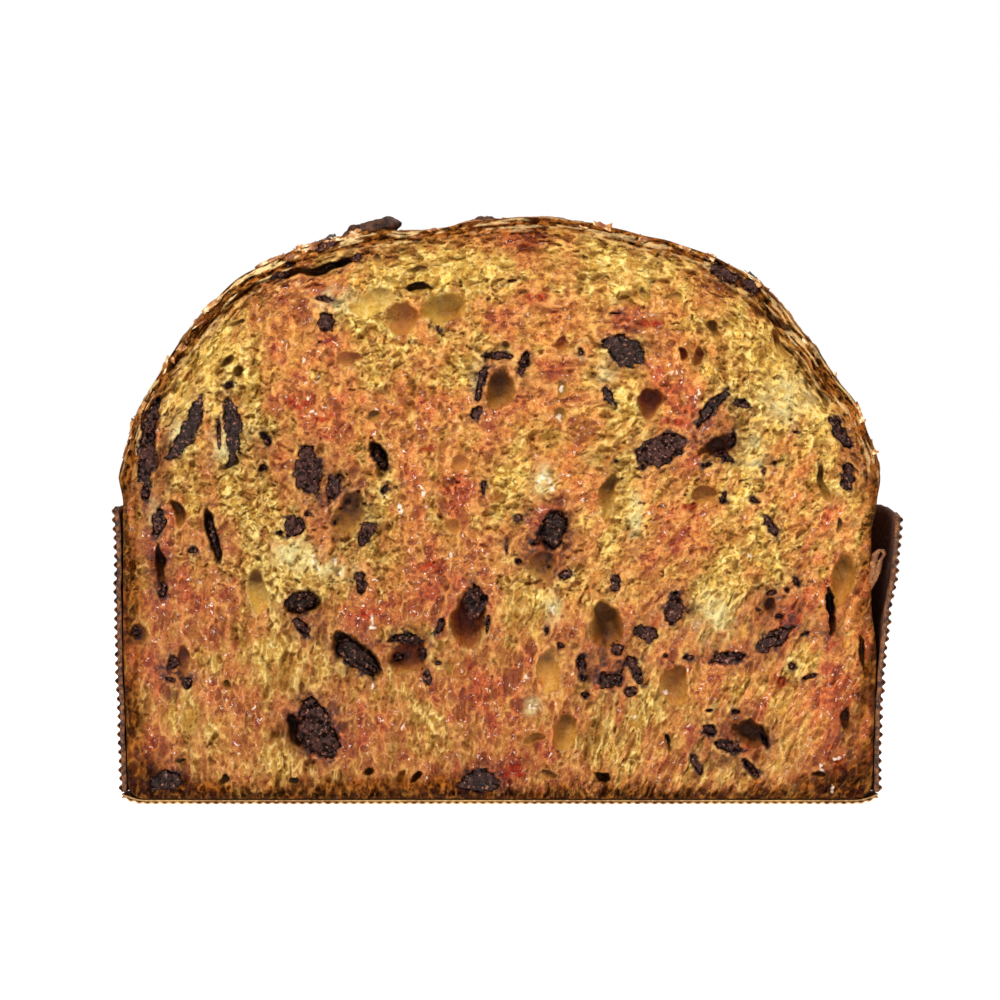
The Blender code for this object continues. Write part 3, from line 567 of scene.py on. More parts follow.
def bare_crumb(x, z):
    """How deep the cut crumb lies at each place, without its chocolate, and the masks for its colours."""
    found = [crust_tree.find((px, pz, 0.0)) for px, pz in zip(x.tolist(), z.tolist())]
    under = np.array([item[2] for item in found])
    round_it = line_length[np.array([item[1] for item in found])]
    low = z - FOOT

    leaning = ease((x + 20.0) / 70.0)
    stretched = np.minimum(z, 52.0) / 1.9 + np.maximum(z, 52.0)
    slant = x - 0.4 * leaning * (np.minimum(z, 96.0) - 50.0)
    near_crust = ease((14.0 - under) / 8.0) * ease((z - 70.0) / 14.0)
    pulled = ease((np.abs(x) - 66.0) / 16.0) * ease((84.0 - z) / 14.0)
    pulled = np.maximum(pulled, 0.55 * ease((54.0 - z) / 24.0))
    fibre = (1.0 - near_crust) * soft_noise(slant / 0.8, z / 5.0, 21)
    fibre += near_crust * soft_noise(round_it / 4.0, under / 0.6, 23)
    strand = soft_noise(slant / 1.7, z / 9.0, 38) + 0.5 * soft_noise(slant / 0.8, z / 6.0, 39)

    soak = SOAK_EVEN + blobs(x, z, SOAKED) + 0.26 * soft_noise(slant / 5.5, z / 7.0, 8)
    soak += 0.24 * soft_noise(slant / 2.4, z / 3.0, 9) + 0.12 * soft_noise(x / 1.1, z / 1.3, 10)
    soak += 0.06 * fibre
    soak = np.clip(soak + 0.3 * pulled * strand, 0.0, 1.0)
    wet = ease((soak - 0.3) / 0.35) * ease((low - 3.0) / 5.0)
    dry_cells = crumb_foam(slant, stretched, 40, DRY_CELLS)
    dimples = crumb_foam(slant, stretched, 43, DIMPLES)
    flat_cells = crumb_foam(round_it / 1.8, under * 1.2, 70, DRY_CELLS)
    # Painted shade of the cells and painted highlights on their lips, mixed from the dry foam, the dimples
    # and the flat cells
    depth, pore_shade, lip_highlights = [
        (dry * (1.0 - wet) + dimple * wet) * (1.0 - near_crust) + flat * near_crust
        for dry, dimple, flat in zip(dry_cells, dimples, flat_cells)
    ]
    depth *= 1.0 - 0.35 * pulled
    depth += 0.6 * soft_noise(x / 13.0, z / 13.0, 5) + 0.5 * soft_noise(slant / 4.0, z / 5.0, 6)
    depth += (0.16 + 0.3 * pulled) * fibre + 0.5 * pulled * strand + 0.16 * soft_noise(x / 0.9, z / 1.1, 7)
    syrup = blobs(x, z, SYRUP, 4.0) * (0.6 + 0.8 * soft_noise(x / 1.4, z / 1.4, 11))
    pale = np.clip(blobs(x, z, PALE, 3.0), 0.0, 1.0) * (0.55 + 0.6 * soft_noise(x / 1.6, z / 1.6, 12))

    hollow = np.zeros(x.shape)
    dark = np.zeros(x.shape)
    red = np.zeros(x.shape)
    lip_and_highlight = np.zeros(x.shape)
    cup = np.zeros(x.shape)
    torn = ragged(x, z)
    bent_x = x + 0.9 * soft_noise(x / 5.0, z / 5.0, 27) + 0.4 * soft_noise(x / 2.2, z / 2.2, 29)
    bent_z = z + 0.9 * soft_noise(x / 5.0, z / 5.0, 28) + 0.4 * soft_noise(x / 2.2, z / 2.2, 30)
    for spec in BUBBLES:
        reach = 0.8 * spec[2] + 1.5
        rows = np.nonzero((np.abs(x - spec[0]) < reach) & (np.abs(z - spec[1]) < reach))[0]
        rag = torn[rows] * (1.1 if spec[6] > 0.7 else 0.7) / (0.25 * (spec[2] + spec[3]))
        way = in_ellipse(bent_x[rows], bent_z[rows], spec) + rag
        inside = np.clip(1.0 - way, 0.0, 1.0)
        bowl = spec[5] * (1.0 - np.clip(way, 0.0, 1.0) ** 2.6) ** WALL_SLOPE
        cup[rows] = np.maximum(cup[rows], bowl)
        mask = ease(inside / 0.14)
        hollow[rows] = np.maximum(hollow[rows], mask)
        # Painted shade inside each bubble: its given darkness, more towards its top, and black in the deepest
        upper = np.clip(0.5 + (z[rows] - spec[1]) / spec[3], 0.0, 1.0)
        shade = spec[6] * (0.3 + 0.5 * ease(inside / 0.6)) + 0.42 * upper * upper + 0.14 * torn[rows]
        dark[rows] = np.maximum(dark[rows], mask * np.clip(shade, 0.0, 1.0))
        red[rows] = np.maximum(red[rows], mask * spec[7])
        # A painted highlight on the raised lip round each bubble
        lip_and_highlight[rows] = np.maximum(lip_and_highlight[rows], bell(way, 1.06, 0.09) * np.clip(0.5 + 1.3 * torn[rows], 0.0, 1.0))

    depth = depth * (1.0 - 0.65 * hollow) + cup - 0.35 * lip_and_highlight * (1.0 - hollow)
    pore_shade = pore_shade * (1.0 - 0.85 * hollow)
    lip_highlights = np.maximum(0.8 * lip_highlights, 1.1 * lip_and_highlight) * (1.0 - hollow)

    loose = bell(x, -52.0, 26.0) * ease((z - 100.0) / 15.0)
    high_up = ease((z - 76.0) / 10.0)
    band = 3.6 + 1.6 * loose + 2.6 * bell(x, 72.0, 20.0) * ease((z - 88.0) / 12.0)
    band = band + soft_noise(round_it / 11.0, 0.0 * under, 17)
    band = band + (1.0 - high_up) * (0.4 + 1.2 * soft_noise(z / 7.0, 0.0 * z, 24))
    layers = soft_noise(round_it / 7.0, under / 0.55, 18) + 0.5 * soft_noise(round_it / 2.0, under / 0.4, 19)
    in_band = ease((1.5 * band - under) / (1.1 * band))
    in_band = in_band * np.clip(1.0 - (1.0 - high_up) * (0.15 + 0.9 * strand) * ease(under / 2.0), 0.0, 1.0)
    slit = ease((layers - 0.35) / 0.4) * in_band * (0.35 + 0.65 * high_up)
    depth += (0.6 + 0.9 * loose) * slit * (1.0 - hollow)
    depth -= 0.35 * in_band * ease((-layers - 0.2) / 0.4)
    foot_thick = 5.8 + 2.4 * soft_noise(x / 7.0, 0.0 * z, 20) + 1.6 * soft_noise(x / 2.0, z / 2.0, 25)
    foot_band = ease((foot_thick - low) / 3.6)
    rough = 0.5 * soft_noise(x / 1.5, z / 1.1, 33) + 0.35 * soft_noise(x / 0.7, z / 0.6, 34)
    char_and_slit_shade = np.maximum((0.75 - 0.5 * high_up) * ease((1.6 - under) / 1.3), 0.95 * ease((3.8 - low) / 3.0))
    char_and_slit_shade = np.maximum(char_and_slit_shade, (1.0 - high_up) * 0.75 * ease((3.4 - under) / 3.0))
    char_and_slit_shade = np.maximum(char_and_slit_shade, ease((17.0 - np.hypot(np.abs(x) - 92.0, z - 2.0)) / 11.0))
    foot_band = np.maximum(foot_band, ease((16.0 - np.hypot(np.abs(x) - 92.0, z - 2.0)) / 8.0))
    bake = np.clip(np.maximum(in_band, foot_band) + 0.35 * slit, 0.0, 1.0)
    depth += bake * rough * (1.0 - 0.5 * high_up)
    char_and_slit_shade = np.clip(char_and_slit_shade * (1.0 + 0.5 * soft_noise(x / 2.6, z / 1.6, 35)) + 0.5 * rough * bake, 0.0, 1.0)
    # Painted shade in the slits of the crust band, over the charring
    char_and_slit_shade = np.clip(char_and_slit_shade + 0.5 * slit * in_band, 0.0, 1.0)
    # Raised flakes of the crust band: cream partly in their own colour and partly as a painted highlight
    flake_and_highlight = in_band * ease((-layers - 0.25) / 0.25) * high_up * (0.6 + 0.6 * loose)

    border = np.minimum(under, np.maximum(low, 0.0))
    depth = np.maximum(depth, -0.6) * ease(border / 0.9) + 0.45 * (1.0 - ease(border / 0.6))
    masks = {
        "soak": soak,
        "syrup": np.clip(syrup, 0.0, 1.0),
        "pale": np.clip(pale, 0.0, 1.0),
        "pore_shade": np.clip(pore_shade, 0.0, 1.0),
        "lip_highlights": np.clip(lip_highlights, 0.0, 1.0),
        "fibre": np.clip(0.5 + 0.5 * fibre + 0.6 * pulled * strand, 0.0, 1.0),
        "hollow": hollow,
        "dark": np.clip(dark, 0.0, 1.0),
        "red": red,
        "bake": bake,
        "char_and_slit_shade": char_and_slit_shade,
        "flake_and_highlight": np.clip(flake_and_highlight, 0.0, 1.0),
    }
    return depth, masks


def node_outline(name):
    """Convex outline, in the cut face, of a chocolate node, and how deep its front lies."""
    mesh = frame["nodes"][name].data
    corners = np.array([vert.co for vert in mesh.vertices]) * 1000.0
    points = sorted(set(map(tuple, np.round(corners[:, (0, 2)], 3).tolist())))
    hull = []
    for run in (points, points[::-1]):
        chain = []
        for point in run:
            while len(chain) > 1:
                ahead = (chain[-1][0] - chain[-2][0], chain[-1][1] - chain[-2][1])
                turn = ahead[0] * (point[1] - chain[-2][1]) - ahead[1] * (point[0] - chain[-2][0])
                if turn > 0.0:
                    break
                chain.pop()
            chain.append(point)
        hull += chain[:-1]
    return np.array(hull), corners[:, 1].min() - CUT


INLAID = [name for name in frame["nodes"] if name in frame["record"]["physics"]["no_collision_nodes"]]
CRUST_LUMPS = [name for name in frame["nodes"] if name.startswith("choc_") and name not in INLAID]
CUT_LUMPS = ["choc_shoulder_east", "choc_shoulder_tip", "choc_crest_tail"]


class Chocolate:
    """One piece of chocolate in the cut face: its outline, how deep its front lies, how blocky it is."""

    def __init__(self, outline, front, smooth):
        self.outline = outline
        self.front = front
        self.smooth = smooth
        self.low = outline.min(axis=0)
        self.high = outline.max(axis=0)
        centred = outline - outline.mean(axis=0)
        half_width = np.linalg.svd(centred, compute_uv=False)[1] / math.sqrt(0.5 * len(outline))
        self.torn = ease(half_width / 2.6)

    def inside(self, x, z):
        """Millimetres inside its torn outline, negative outside."""
        inside = np.full(x.shape, 99.0)
        for first, second in zip(self.outline, np.roll(self.outline, -1, axis=0)):
            way = (second - first) / np.hypot(*(second - first))
            inside = np.minimum(inside, way[0] * (z - first[1]) - way[1] * (x - first[0]))
        return inside + self.torn * ragged(x + 31.0, z) + 0.2


SMOOTH_CHUNKS = (
    "slab", "strip_west", "strip_east", "ring_west", "hook", "foot_mid", "foot_west", "bean",
    "pocket_west", "pocket_mid", "pocket_east", "chute_end", "gap_lining",
)
chocolates = []
for name in INLAID + CUT_LUMPS:
    outline, front = node_outline(name)
    chocolates.append(Chocolate(outline, front, name[5:] in SMOOTH_CHUNKS))
chip_depth = bare_crumb(np.array([chip[0] for chip in CHIPS]), np.array([chip[1] for chip in CHIPS]))[0]
for (x, z, length, width, lean), depth in zip(CHIPS, chip_depth.tolist()):
    angle = np.linspace(0.0, 2.0 * math.pi, 13)[:-1]
    turn = math.radians(lean)
    along_it = 0.5 * length * np.cos(angle)
    aside = 0.5 * width * np.sin(angle)
    outline = np.stack(
        (
            x + along_it * math.cos(turn) - aside * math.sin(turn),
            z + along_it * math.sin(turn) + aside * math.cos(turn),
        ),
        axis=1,
    )
    chocolates.append(Chocolate(outline, depth + FRONT_OF_CHIP, False))


def cut_face(x, z):
    """The cut crumb with a socket for each piece of chocolate, painted shade in the sockets, a painted
    highlight on a fringe round each piece, and their smears round it.
    """
    depth, masks = bare_crumb(x, z)
    smear = np.zeros(x.shape)
    edge = np.zeros(x.shape)
    cover = 0.8 * np.clip(soft_noise(x / 1.8, z / 1.8, 26) + 0.1, 0.0, 1.0)
    for piece in chocolates:
        beside = (x > piece.low[0] - 4.0) & (x < piece.high[0] + 4.0)
        rows = np.nonzero(beside & (z > piece.low[1] - 4.0) & (z < piece.high[1] + 4.0))[0]
        inside = piece.inside(x[rows], z[rows])
        socket = (piece.front + SOCKET_DEPTH) * ease((inside - piece.torn * cover[rows] - 0.1) / 0.6)
        depth[rows] = np.maximum(depth[rows], socket)
        stain = np.exp(-np.clip(0.3 - inside, 0.0, None) / 0.9)
        smear[rows] = np.maximum(smear[rows], stain)
        # A painted highlight on a ragged fringe round each piece, which is also raised a little
        lit_fringe = bell(inside, -0.35, 0.45) * np.clip(0.35 + 2.0 * ragged(x[rows] - 17.0, z[rows]), 0.0, 1.0)
        edge[rows] = np.maximum(edge[rows], lit_fringe)
        # Painted shade in the socket behind each piece
        masks["dark"][rows] = np.maximum(masks["dark"][rows], ease((inside - 0.5) / 0.5))
        masks["hollow"][rows] = np.maximum(masks["hollow"][rows], ease((inside - 0.5) / 0.5))
    patch = 0.5 + 0.9 * soft_noise(x / 1.3, z / 1.3, 15) + 0.7 * soft_noise(x / 0.5, z / 0.5, 16)
    # Patches where the crumb is darker and browner
    stain = blobs(x, z, DARKER_PATCHES, 3.0)
    bent_x = x + 0.45 * soft_noise(x / 0.9, z / 0.9, 43)
    bent_z = z + 0.45 * soft_noise(x / 0.9, z / 0.9, 44)
    uneven = 0.7 + 1.2 * soft_noise(x / 0.6, z / 0.6, 45)
    # Drops of syrup: raised and glossy, and painted near-white as a highlight
    drop = np.clip(blobs(bent_x, bent_z, DROPS, 3.0) * uneven, 0.0, 1.0)
    masks["drop"] = drop
    depth -= 0.4 * drop
    streaks = 0.1 + 1.1 * soft_noise(x / 1.7, z / 1.9, 36) + 0.8 * soft_noise(x / 0.6, z / 0.7, 37)
    smear = smear * np.clip(patch, 0.0, 1.3) + 0.9 * stain * np.clip(streaks, 0.0, 1.2)
    masks["smear"] = np.clip(smear - 0.8 * edge, 0.0, 1.0)
    masks["lip_highlights"] = np.maximum(masks["lip_highlights"], 0.9 * edge * (1.0 - 0.7 * masks["bake"]))
    depth -= 0.3 * edge
    masks["stain"] = np.clip(stain, 0.0, 1.0)
    return depth, masks


def along(line, share):
    """Points along a line at shares of its length."""
    length = np.concatenate(([0.0], np.cumsum(np.hypot(*np.diff(line, axis=0).T))))
    return [np.interp(share * length[-1], length, line[:, axis]) for axis in (0, 1)]


foot_middle = 6
shoulder = int(np.argmax(height > SHOULDER))
left_side = left_line[foot_middle : shoulder + 1]
right_side = right_line[foot_middle : shoulder + 1]
over = np.concatenate((left_line[shoulder:], right_line[shoulder:][::-1][1:]))
bottom = np.concatenate((left_line[: foot_middle + 1][::-1], right_line[: foot_middle + 1]))


def face_place(u, v):
    """Spreads a square over the cut face, its four edges on the loaf's outline."""
    place = []
    for axis in (0, 1):
        west = along(left_side, v)[axis]
        east = along(right_side, v)[axis]
        low = along(bottom, u)[axis]
        high = along(over, u)[axis]
        corners = (1 - u) * (1 - v) * bottom[0][axis] + u * (1 - v) * bottom[-1][axis]
        corners += (1 - u) * v * over[0][axis] + u * v * over[-1][axis]
        place.append((1 - u) * west + u * east + (1 - v) * low + v * high - corners)
    return place


def linear(code):
    """sRGB hex code to the linear colour that the shaders take."""
    parts = [int(code[start : start + 2], 16) / 255.0 for start in (1, 3, 5)]
    return (*[part / 12.92 if part < 0.04045 else ((part + 0.055) / 1.055) ** 2.4 for part in parts], 1.0)


def add_node(tree, kind, settings, output=0):
    """Adds a node and returns an output of it. A setting is a property, a socket's value or a link to it."""
    node = tree.nodes.new(kind)
    for name, value in settings.items():
        if isinstance(value, bpy.types.NodeSocket):
            tree.links.new(value, node.inputs[name])
        elif isinstance(name, str) and hasattr(node, name):
            setattr(node, name, value)
        else:
            node.inputs[name].default_value = value
    return node.outputs[output]


def new_material(name, **shader):
    material = bpy.data.materials.new(name)
    material.use_nodes = True
    principled = material.node_tree.nodes["Principled BSDF"]
    for socket, value in shader.items():
        principled.inputs[socket.replace("_", " ")].default_value = value
    return material, material.node_tree, principled


def surface_marks(tree, attributes, patterns):
    """What a finish follows: attributes of the piece, and patterns: size in mm, detail, roughness, swirl."""
    marks = {"place": add_node(tree, "ShaderNodeTexCoord", {}, "Object")}
    for name in attributes:
        marks[name] = add_node(tree, "ShaderNodeAttribute", {"attribute_name": name}, "Fac")
    for name, size, detail, rough, swirl in patterns:
        pattern = {"Scale": 1000.0 / size, "Detail": detail, "Roughness": rough, "Distortion": swirl}
        marks[name] = add_node(tree, "ShaderNodeTexNoise", {"Vector": marks["place"], **pattern}, "Fac")
    return marks


def paint(tree, marks, ramps, layers):
    """Lays colour over colour. A ramp turns a mark into a share, and a layer goes over another by a share."""
    for name, mark, low, high, least, most in ramps:
        limits = {"From Min": low, "From Max": high, "To Min": least, "To Max": marks.get(most, most)}
        marks[name] = add_node(tree, "ShaderNodeMapRange", {"Value": marks[mark], **limits})
    colours = {}
    for name, share, under, over, *blend in layers:
        layer = {"data_type": "RGBA", "blend_type": blend[0] if blend else "MIX", 0: marks.get(share, share)}
        layer[6] = colours[under] if under in colours else linear(under)
        layer[7] = colours[over] if over in colours else linear(over)
        colours[name] = add_node(tree, "ShaderNodeMix", layer, 2)
    return colours[name]


# Egg-rich sweet dough: matt and a little translucent where dry, moist and brighter where soaked.
# Yellow on the cell walls, with painted highlights on their rims, and ochre in the pores, which is painted
# shade; painted shade also darkens the bubbles and the lower left. Syrup turns it peach to orange, fire turns
# it brown.
crumb, tree, shader = new_material(
    "sweet egg crumb, cut",
    Specular_IOR_Level=0.3,
    Subsurface_Weight=0.06,
    Subsurface_Scale=0.001,
    Subsurface_Radius=(1.0, 0.45, 0.12),
)
# Torn walls, strands, specks of fruit, where they gather, and painted wet glints; the walls are drawn at
# twice their size so that they show
marks = surface_marks(
    tree,
    (
        "soak", "syrup", "drop", "pale", "pore_shade", "lip_highlights", "fibre", "hollow", "dark", "red", "smear", "stain",
        "bake", "char_and_slit_shade", "flake_and_highlight",
    ),
    (
        ("grain", 0.5, 3.0, 0.6, 0.0),
        ("tuft", 1.3, 3.0, 0.6, 0.0),
        ("speck", 1.5, 3.0, 0.6, 0.6),
        ("cluster", 7.0, 3.0, 0.6, 0.0),
        ("glint", 1.1, 3.0, 0.6, 0.8),
    ),
)
# Painted shade: the crumb darkens towards the lower left, where the light falls off, and is lightest at the
# upper right
falloff_way = {"operation": "DOT_PRODUCT", 0: marks["place"], 1: (-3.2, 0.0, -6.0)}
marks["way"] = add_node(tree, "ShaderNodeVectorMath", falloff_way, "Value")
# Strands of the crumb: a noise that paints shade on their sides and light on their crests
marks["strands"] = 0.0
for mark, low, high, most in (("tuft", 0.3, 0.7, 0.4), ("grain", 0.3, 0.7, 0.32), ("fibre", 0.0, 1.0, 0.28)):
    limits = {"From Min": low, "From Max": high, "To Max": most}
    part = add_node(tree, "ShaderNodeMapRange", {"Value": marks[mark], **limits})
    marks["strands"] = add_node(tree, "ShaderNodeMath", {"operation": "ADD", 0: marks["strands"], 1: part})
ramps = (
    ("falloff_shade", "way", -0.58, 0.0, 0.0, 1.0),
    ("peach", "soak", 0.08, 0.46, 0.0, 1.0),
    ("soaked", "soak", 0.46, 0.95, 0.0, 1.0),
    # Painted shade and painted light on the strands
    ("shaded", "strands", 0.52, 0.22, 0.0, 1.0),
    ("crested", "strands", 0.5, 0.8, 0.0, 1.0),
    # Painted highlights on the cell rims, painted shade in the pores and pits
    ("rims", "lip_highlights", 0.0, 1.0, 0.0, 0.75),
    ("pores", "pore_shade", 0.0, 1.0, 0.0, 0.85),
    ("pits", "grain", 0.58, 0.64, 0.0, 0.6),
    ("clustered", "cluster", 0.4, 0.58, 0.3, 1.0),
    ("specks", "speck", 0.56, 0.62, 0.0, "clustered"),
    ("fruit", "soak", 0.35, 0.75, 0.0, "specks"),
    # Painted wet glints
    ("glints", "glint", 0.63, 0.68, 0.0, 0.8),
    ("shine", "soak", 0.35, 0.75, 0.0, "glints"),
    ("thin gel", "tuft", 0.4, 0.6, 0.0, 1.0),
    ("gelled", "syrup", 0.1, 0.8, 0.0, 0.85),
    # Painted light on the strands of the bubble walls
    ("wall strands", "strands", 0.4, 0.8, 0.0, 0.5),
    ("red wall", "red", 0.0, 1.0, 0.0, 0.7),
    # Painted shade inside the bubbles and the chocolate sockets, deepening to black
    ("dim", "dark", 0.0, 0.6, 0.0, 1.0),
    ("black", "dark", 0.5, 1.0, 0.0, 1.0),
    ("crisp", "strands", 0.25, 0.75, 0.0, 1.0),
    ("ember", "strands", 0.3, 0.8, 0.0, 1.0),
    # Painted highlights on the rims and painted shade in the pores of the crust band
    ("crisp rims", "lip_highlights", 0.0, 1.0, 0.0, 0.8),
    ("crisp pores", "pore_shade", 0.0, 1.0, 0.0, 0.9),
    ("browned", "bake", 0.0, 1.0, 0.0, 0.94),
    ("drop_highlights", "drop", 0.2, 0.8, 0.0, 0.8),
)
layers = (
    # Shaded, middle and lit copies of each tone: the strand noise paints shade on the sides of the strands
    # and light on their crests
    ("shadow", "peach", "#a86c14", "#8e420a"),
    ("shadow", "soaked", "shadow", "#661a04"),
    ("middle", "peach", "#eec250", "#d28a2e"),
    ("middle", "soaked", "middle", "#ac4210"),
    ("bright", "peach", "#fdec9e", "#f0bc6c"),
    ("bright", "soaked", "bright", "#e0803c"),
    ("face", "shaded", "middle", "shadow"),
    ("face", "crested", "face", "bright"),
    # Painted shade, darker towards the lower left
    ("face", "falloff_shade", "face", "#d7cec8", "MULTIPLY"),
    # Painted highlights on the cell rims, then painted shade in the pores and pits
    ("face", "rims", "face", "bright"),
    ("inside pores", 0.35, "shadow", "#5c300c"),
    ("face", "pores", "face", "inside pores"),
    ("face", "pits", "face", "shadow"),
    ("face", "fruit", "face", "#7c1e06"),
    # Painted wet glints on the soaked crumb
    ("face", "shine", "face", "#fff0dc"),
    ("gel", "thin gel", "#5e0c02", "#a82a0a"),
    ("face", "gelled", "face", "gel"),
    ("face", "pale", "face", "#dccb8c"),
    ("bubble", 0.6, "middle", "#c08e2c"),
    # Painted light on the strands of the bubble walls
    ("bubble", "wall strands", "bubble", "bright"),
    ("bubble", "red wall", "bubble", "#b0541c"),
    # Painted shade inside the bubbles, deepening to black
    ("shade", "red", "#6a420c", "#6a1c06"),
    ("bubble", "dim", "bubble", "shade"),
    ("bubble", "black", "bubble", "#140703"),
    ("face", "hollow", "face", "bubble"),
    # Patches where the crumb is darker and browner
    ("darker_brown", 0.75, "face", "#b0562a", "MULTIPLY"),
    ("face", "stain", "face", "darker_brown"),
    ("crust", "crisp", "#561f04", "#b05e16"),
    ("charred", "ember", "#140401", "#4a1c06"),
    # Charring, with painted shade in the slits
    ("crust", "char_and_slit_shade", "crust", "charred"),
    ("crust", "crisp rims", "crust", "#b47428"),
    ("crust", "crisp pores", "crust", "#1a0702"),
    # Cream flakes, partly a painted highlight
    ("crust", "flake_and_highlight", "crust", "#ecca8c"),
    ("face", "browned", "face", "crust"),
    ("face", "smear", "face", "#301614"),
    # A painted near-white highlight on the drops of syrup
    ("face", "drop_highlights", "face", "#f8e4cc"),
)
tree.links.new(paint(tree, marks, ramps, layers), shader.inputs["Base Color"])
for socket, level, wetter in (
    ("Roughness", 0.75, (("soak", 0.28), ("syrup", 0.14), ("drop", 0.08))),
    ("Specular IOR Level", 0.3, (("syrup", 0.12), ("bake", 0.06))),
):
    for mark, there in wetter:
        level = add_node(tree, "ShaderNodeMix", {0: marks[mark], 2: level, 3: there})
    tree.links.new(level, shader.inputs[socket])
fine = add_node(tree, "ShaderNodeBump", {"Strength": 1.0, "Distance": 0.0004, "Height": marks["grain"]})
coarse = add_node(
    tree, "ShaderNodeBump", {"Strength": 0.8, "Distance": 0.0007, "Height": marks["tuft"], "Normal": fine}
)
tree.links.new(coarse, shader.inputs["Normal"])


def make_piece(name, mesh, material, node_slot, *replaced):
    piece = bpy.data.objects.new(name, mesh)
    bpy.context.scene.collection.objects.link(piece)
    mesh.materials.append(material)
    mesh.shade_smooth()
    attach(piece, "root")
    if replaced:
        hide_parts(*replaced)
    return piece


def finished(bm, name):
    mesh = bpy.data.meshes.new(name)
    bm.to_mesh(mesh)
    bm.free()
    return mesh


def set_marks(mesh, **marks):
    """Stores marks with a value for each vertex, which the finish reads by their names."""
    for name, values in marks.items():
        layer = mesh.attributes.new(name, "FLOAT", "POINT")
        layer.data.foreach_set("value", values.astype(np.float32))


def mesh_places(mesh):
    places = np.empty(len(mesh.vertices) * 3)
    mesh.vertices.foreach_get("co", places)
    return places.reshape(-1, 3)


def set_places(mesh, x, y, z):
    """Sets every vertex of a mesh from places in millimetres."""
    mesh.vertices.foreach_set("co", (np.stack((x, y, z), axis=1) * MM).ravel())
    mesh.update()


for strip in range(FACE_STRIPS):
    bm = bmesh.new()
    bmesh.ops.create_grid(bm, x_segments=FACE_COLUMNS // FACE_STRIPS, y_segments=FACE_ROWS, size=0.5)
    mesh = finished(bm, "crumb")
    square = mesh_places(mesh) + 0.5
    x, z = face_place((strip + square[:, 0]) / FACE_STRIPS, square[:, 1])
    depth, painted = cut_face(x, z)
    set_places(mesh, x, CUT + depth, z)
    set_marks(mesh, **painted)
    make_piece(f"crumb_{('west', 'mid_west', 'mid_east', 'east')[strip]}", mesh, crumb, "bread", "bread")


# Dark chocolate: chunks that half melted into the dough and set again, grainy with sharp shards.
# Near black with a purple-brown cast, satin on the broken blocks and glossy on the melted grains. Painted
# shade darkens the grooves between the grains, and specks of dust are lightened into a painted sparkle.
CHOCOLATE_CELL = 0.24
CHOCOLATE_BACK = 2.0
BLOCK_PITCH = 3.0
GRAIN_PITCH = 1.0

chocolate, tree, shader = new_material(
    "dark chocolate, half melted", IOR=1.5, Specular_IOR_Level=0.35, Specular_Tint=(1.0, 0.72, 0.62, 1.0)
)
patterns = (("sugar", 1.0, 3.0, 0.65, 0.0), ("lumps", 3.0, 3.0, 0.65, 0.0), ("dust_and_sparkle", 0.9, 2.0, 0.5, 0.0))
marks = surface_marks(tree, ("raised",), patterns)
ramps = (
    # Painted shade in the grooves, lighter on the tops
    ("lit_ridges", "raised", 0.25, 0.8, 0.0, 1.0),
    ("sugary", "sugar", 0.53, 0.66, 0.0, 0.7),
    # Specks of dust, lightened into a painted sparkle
    ("dusty", "dust_and_sparkle", 0.62, 0.67, 0.0, 0.7),
    ("gloss", "lumps", 0.42, 0.58, 0.16, 0.42),
)
layers = (
    ("darker_brown", "lit_ridges", "#0a0202", "#361914"),
    ("darker_brown", "sugary", "darker_brown", "#55302c"),
    ("darker_brown", "dusty", "darker_brown", "#a87058"),
)
tree.links.new(paint(tree, marks, ramps, layers), shader.inputs["Base Color"])
tree.links.new(marks["gloss"], shader.inputs["Roughness"])
bump = add_node(tree, "ShaderNodeBump", {"Strength": 0.8, "Distance": 0.0005, "Height": marks["sugar"]})
tree.links.new(bump, shader.inputs["Normal"])

bm = bmesh.new()
lit_top_layer = bm.verts.layers.float.new("raised")
for piece in chocolates:
    span = piece.high - piece.low + 2.4
    cells = np.ceil(span / CHOCOLATE_CELL).astype(int)
    made = bmesh.ops.create_grid(bm, x_segments=int(cells[0]), y_segments=int(cells[1]), size=0.5)["verts"]
    square = np.array([vert.co for vert in made]) + 0.5
    x = piece.low[0] - 1.2 + span[0] * square[:, 0]
    z = piece.low[1] - 1.2 + span[1] * square[:, 1]
    inside = piece.inside(x, z)
    _, block_gap, block = foam((x + 0.3 * z) / BLOCK_PITCH, z / BLOCK_PITCH, 90)
    grain_near, _, grain = foam(x / GRAIN_PITCH, z / GRAIN_PITCH, 91)
    coarse = 0.25 if piece.smooth else 1.0
    relief = 0.9 * (block - 0.4) + 0.3 * (1.0 - ease(block_gap / 0.2))
    relief += 0.3 * soft_noise(x / 1.8, z / 1.8, 92)
    relief += coarse * (1.1 * grain_near ** 2 + 0.9 * (grain - 0.5))
    # Painted shade in the grooves between the grains, lighter on their tops; the smooth pieces stay dark
    lit_top_share = np.clip(0.75 - 0.7 * relief, 0.0, 1.0) * (0.35 if piece.smooth else 1.0)
    depth = piece.front + relief + 1.3 * (1.0 - np.sqrt(np.clip(inside / 0.9, 0.0, 1.0)))
    depth += 2.2 * np.clip(-inside, 0.0, None)
    places = zip(made, x.tolist(), (CUT + depth).tolist(), z.tolist(), lit_top_share.tolist())
    for vert, px, py, pz, share in places:
        vert.co = (px * MM, py * MM, pz * MM)
        vert[lit_top_layer] = share
    outside = [vert for vert, way in zip(made, inside.tolist()) if way < -0.6]
    bmesh.ops.delete(bm, geom=outside, context="VERTS")
rim = [edge for edge in bm.edges if edge.is_boundary]
back = bmesh.ops.extrude_edge_only(bm, edges=rim)["geom"]
back_verts = [item for item in back if isinstance(item, bmesh.types.BMVert)]
bmesh.ops.translate(bm, verts=back_verts, vec=(0.0, CHOCOLATE_BACK * MM, 0.0))
bmesh.ops.holes_fill(bm, edges=[edge for edge in bm.edges if edge.is_boundary], sides=0)
mesh = finished(bm, "chocolate_in_crumb")
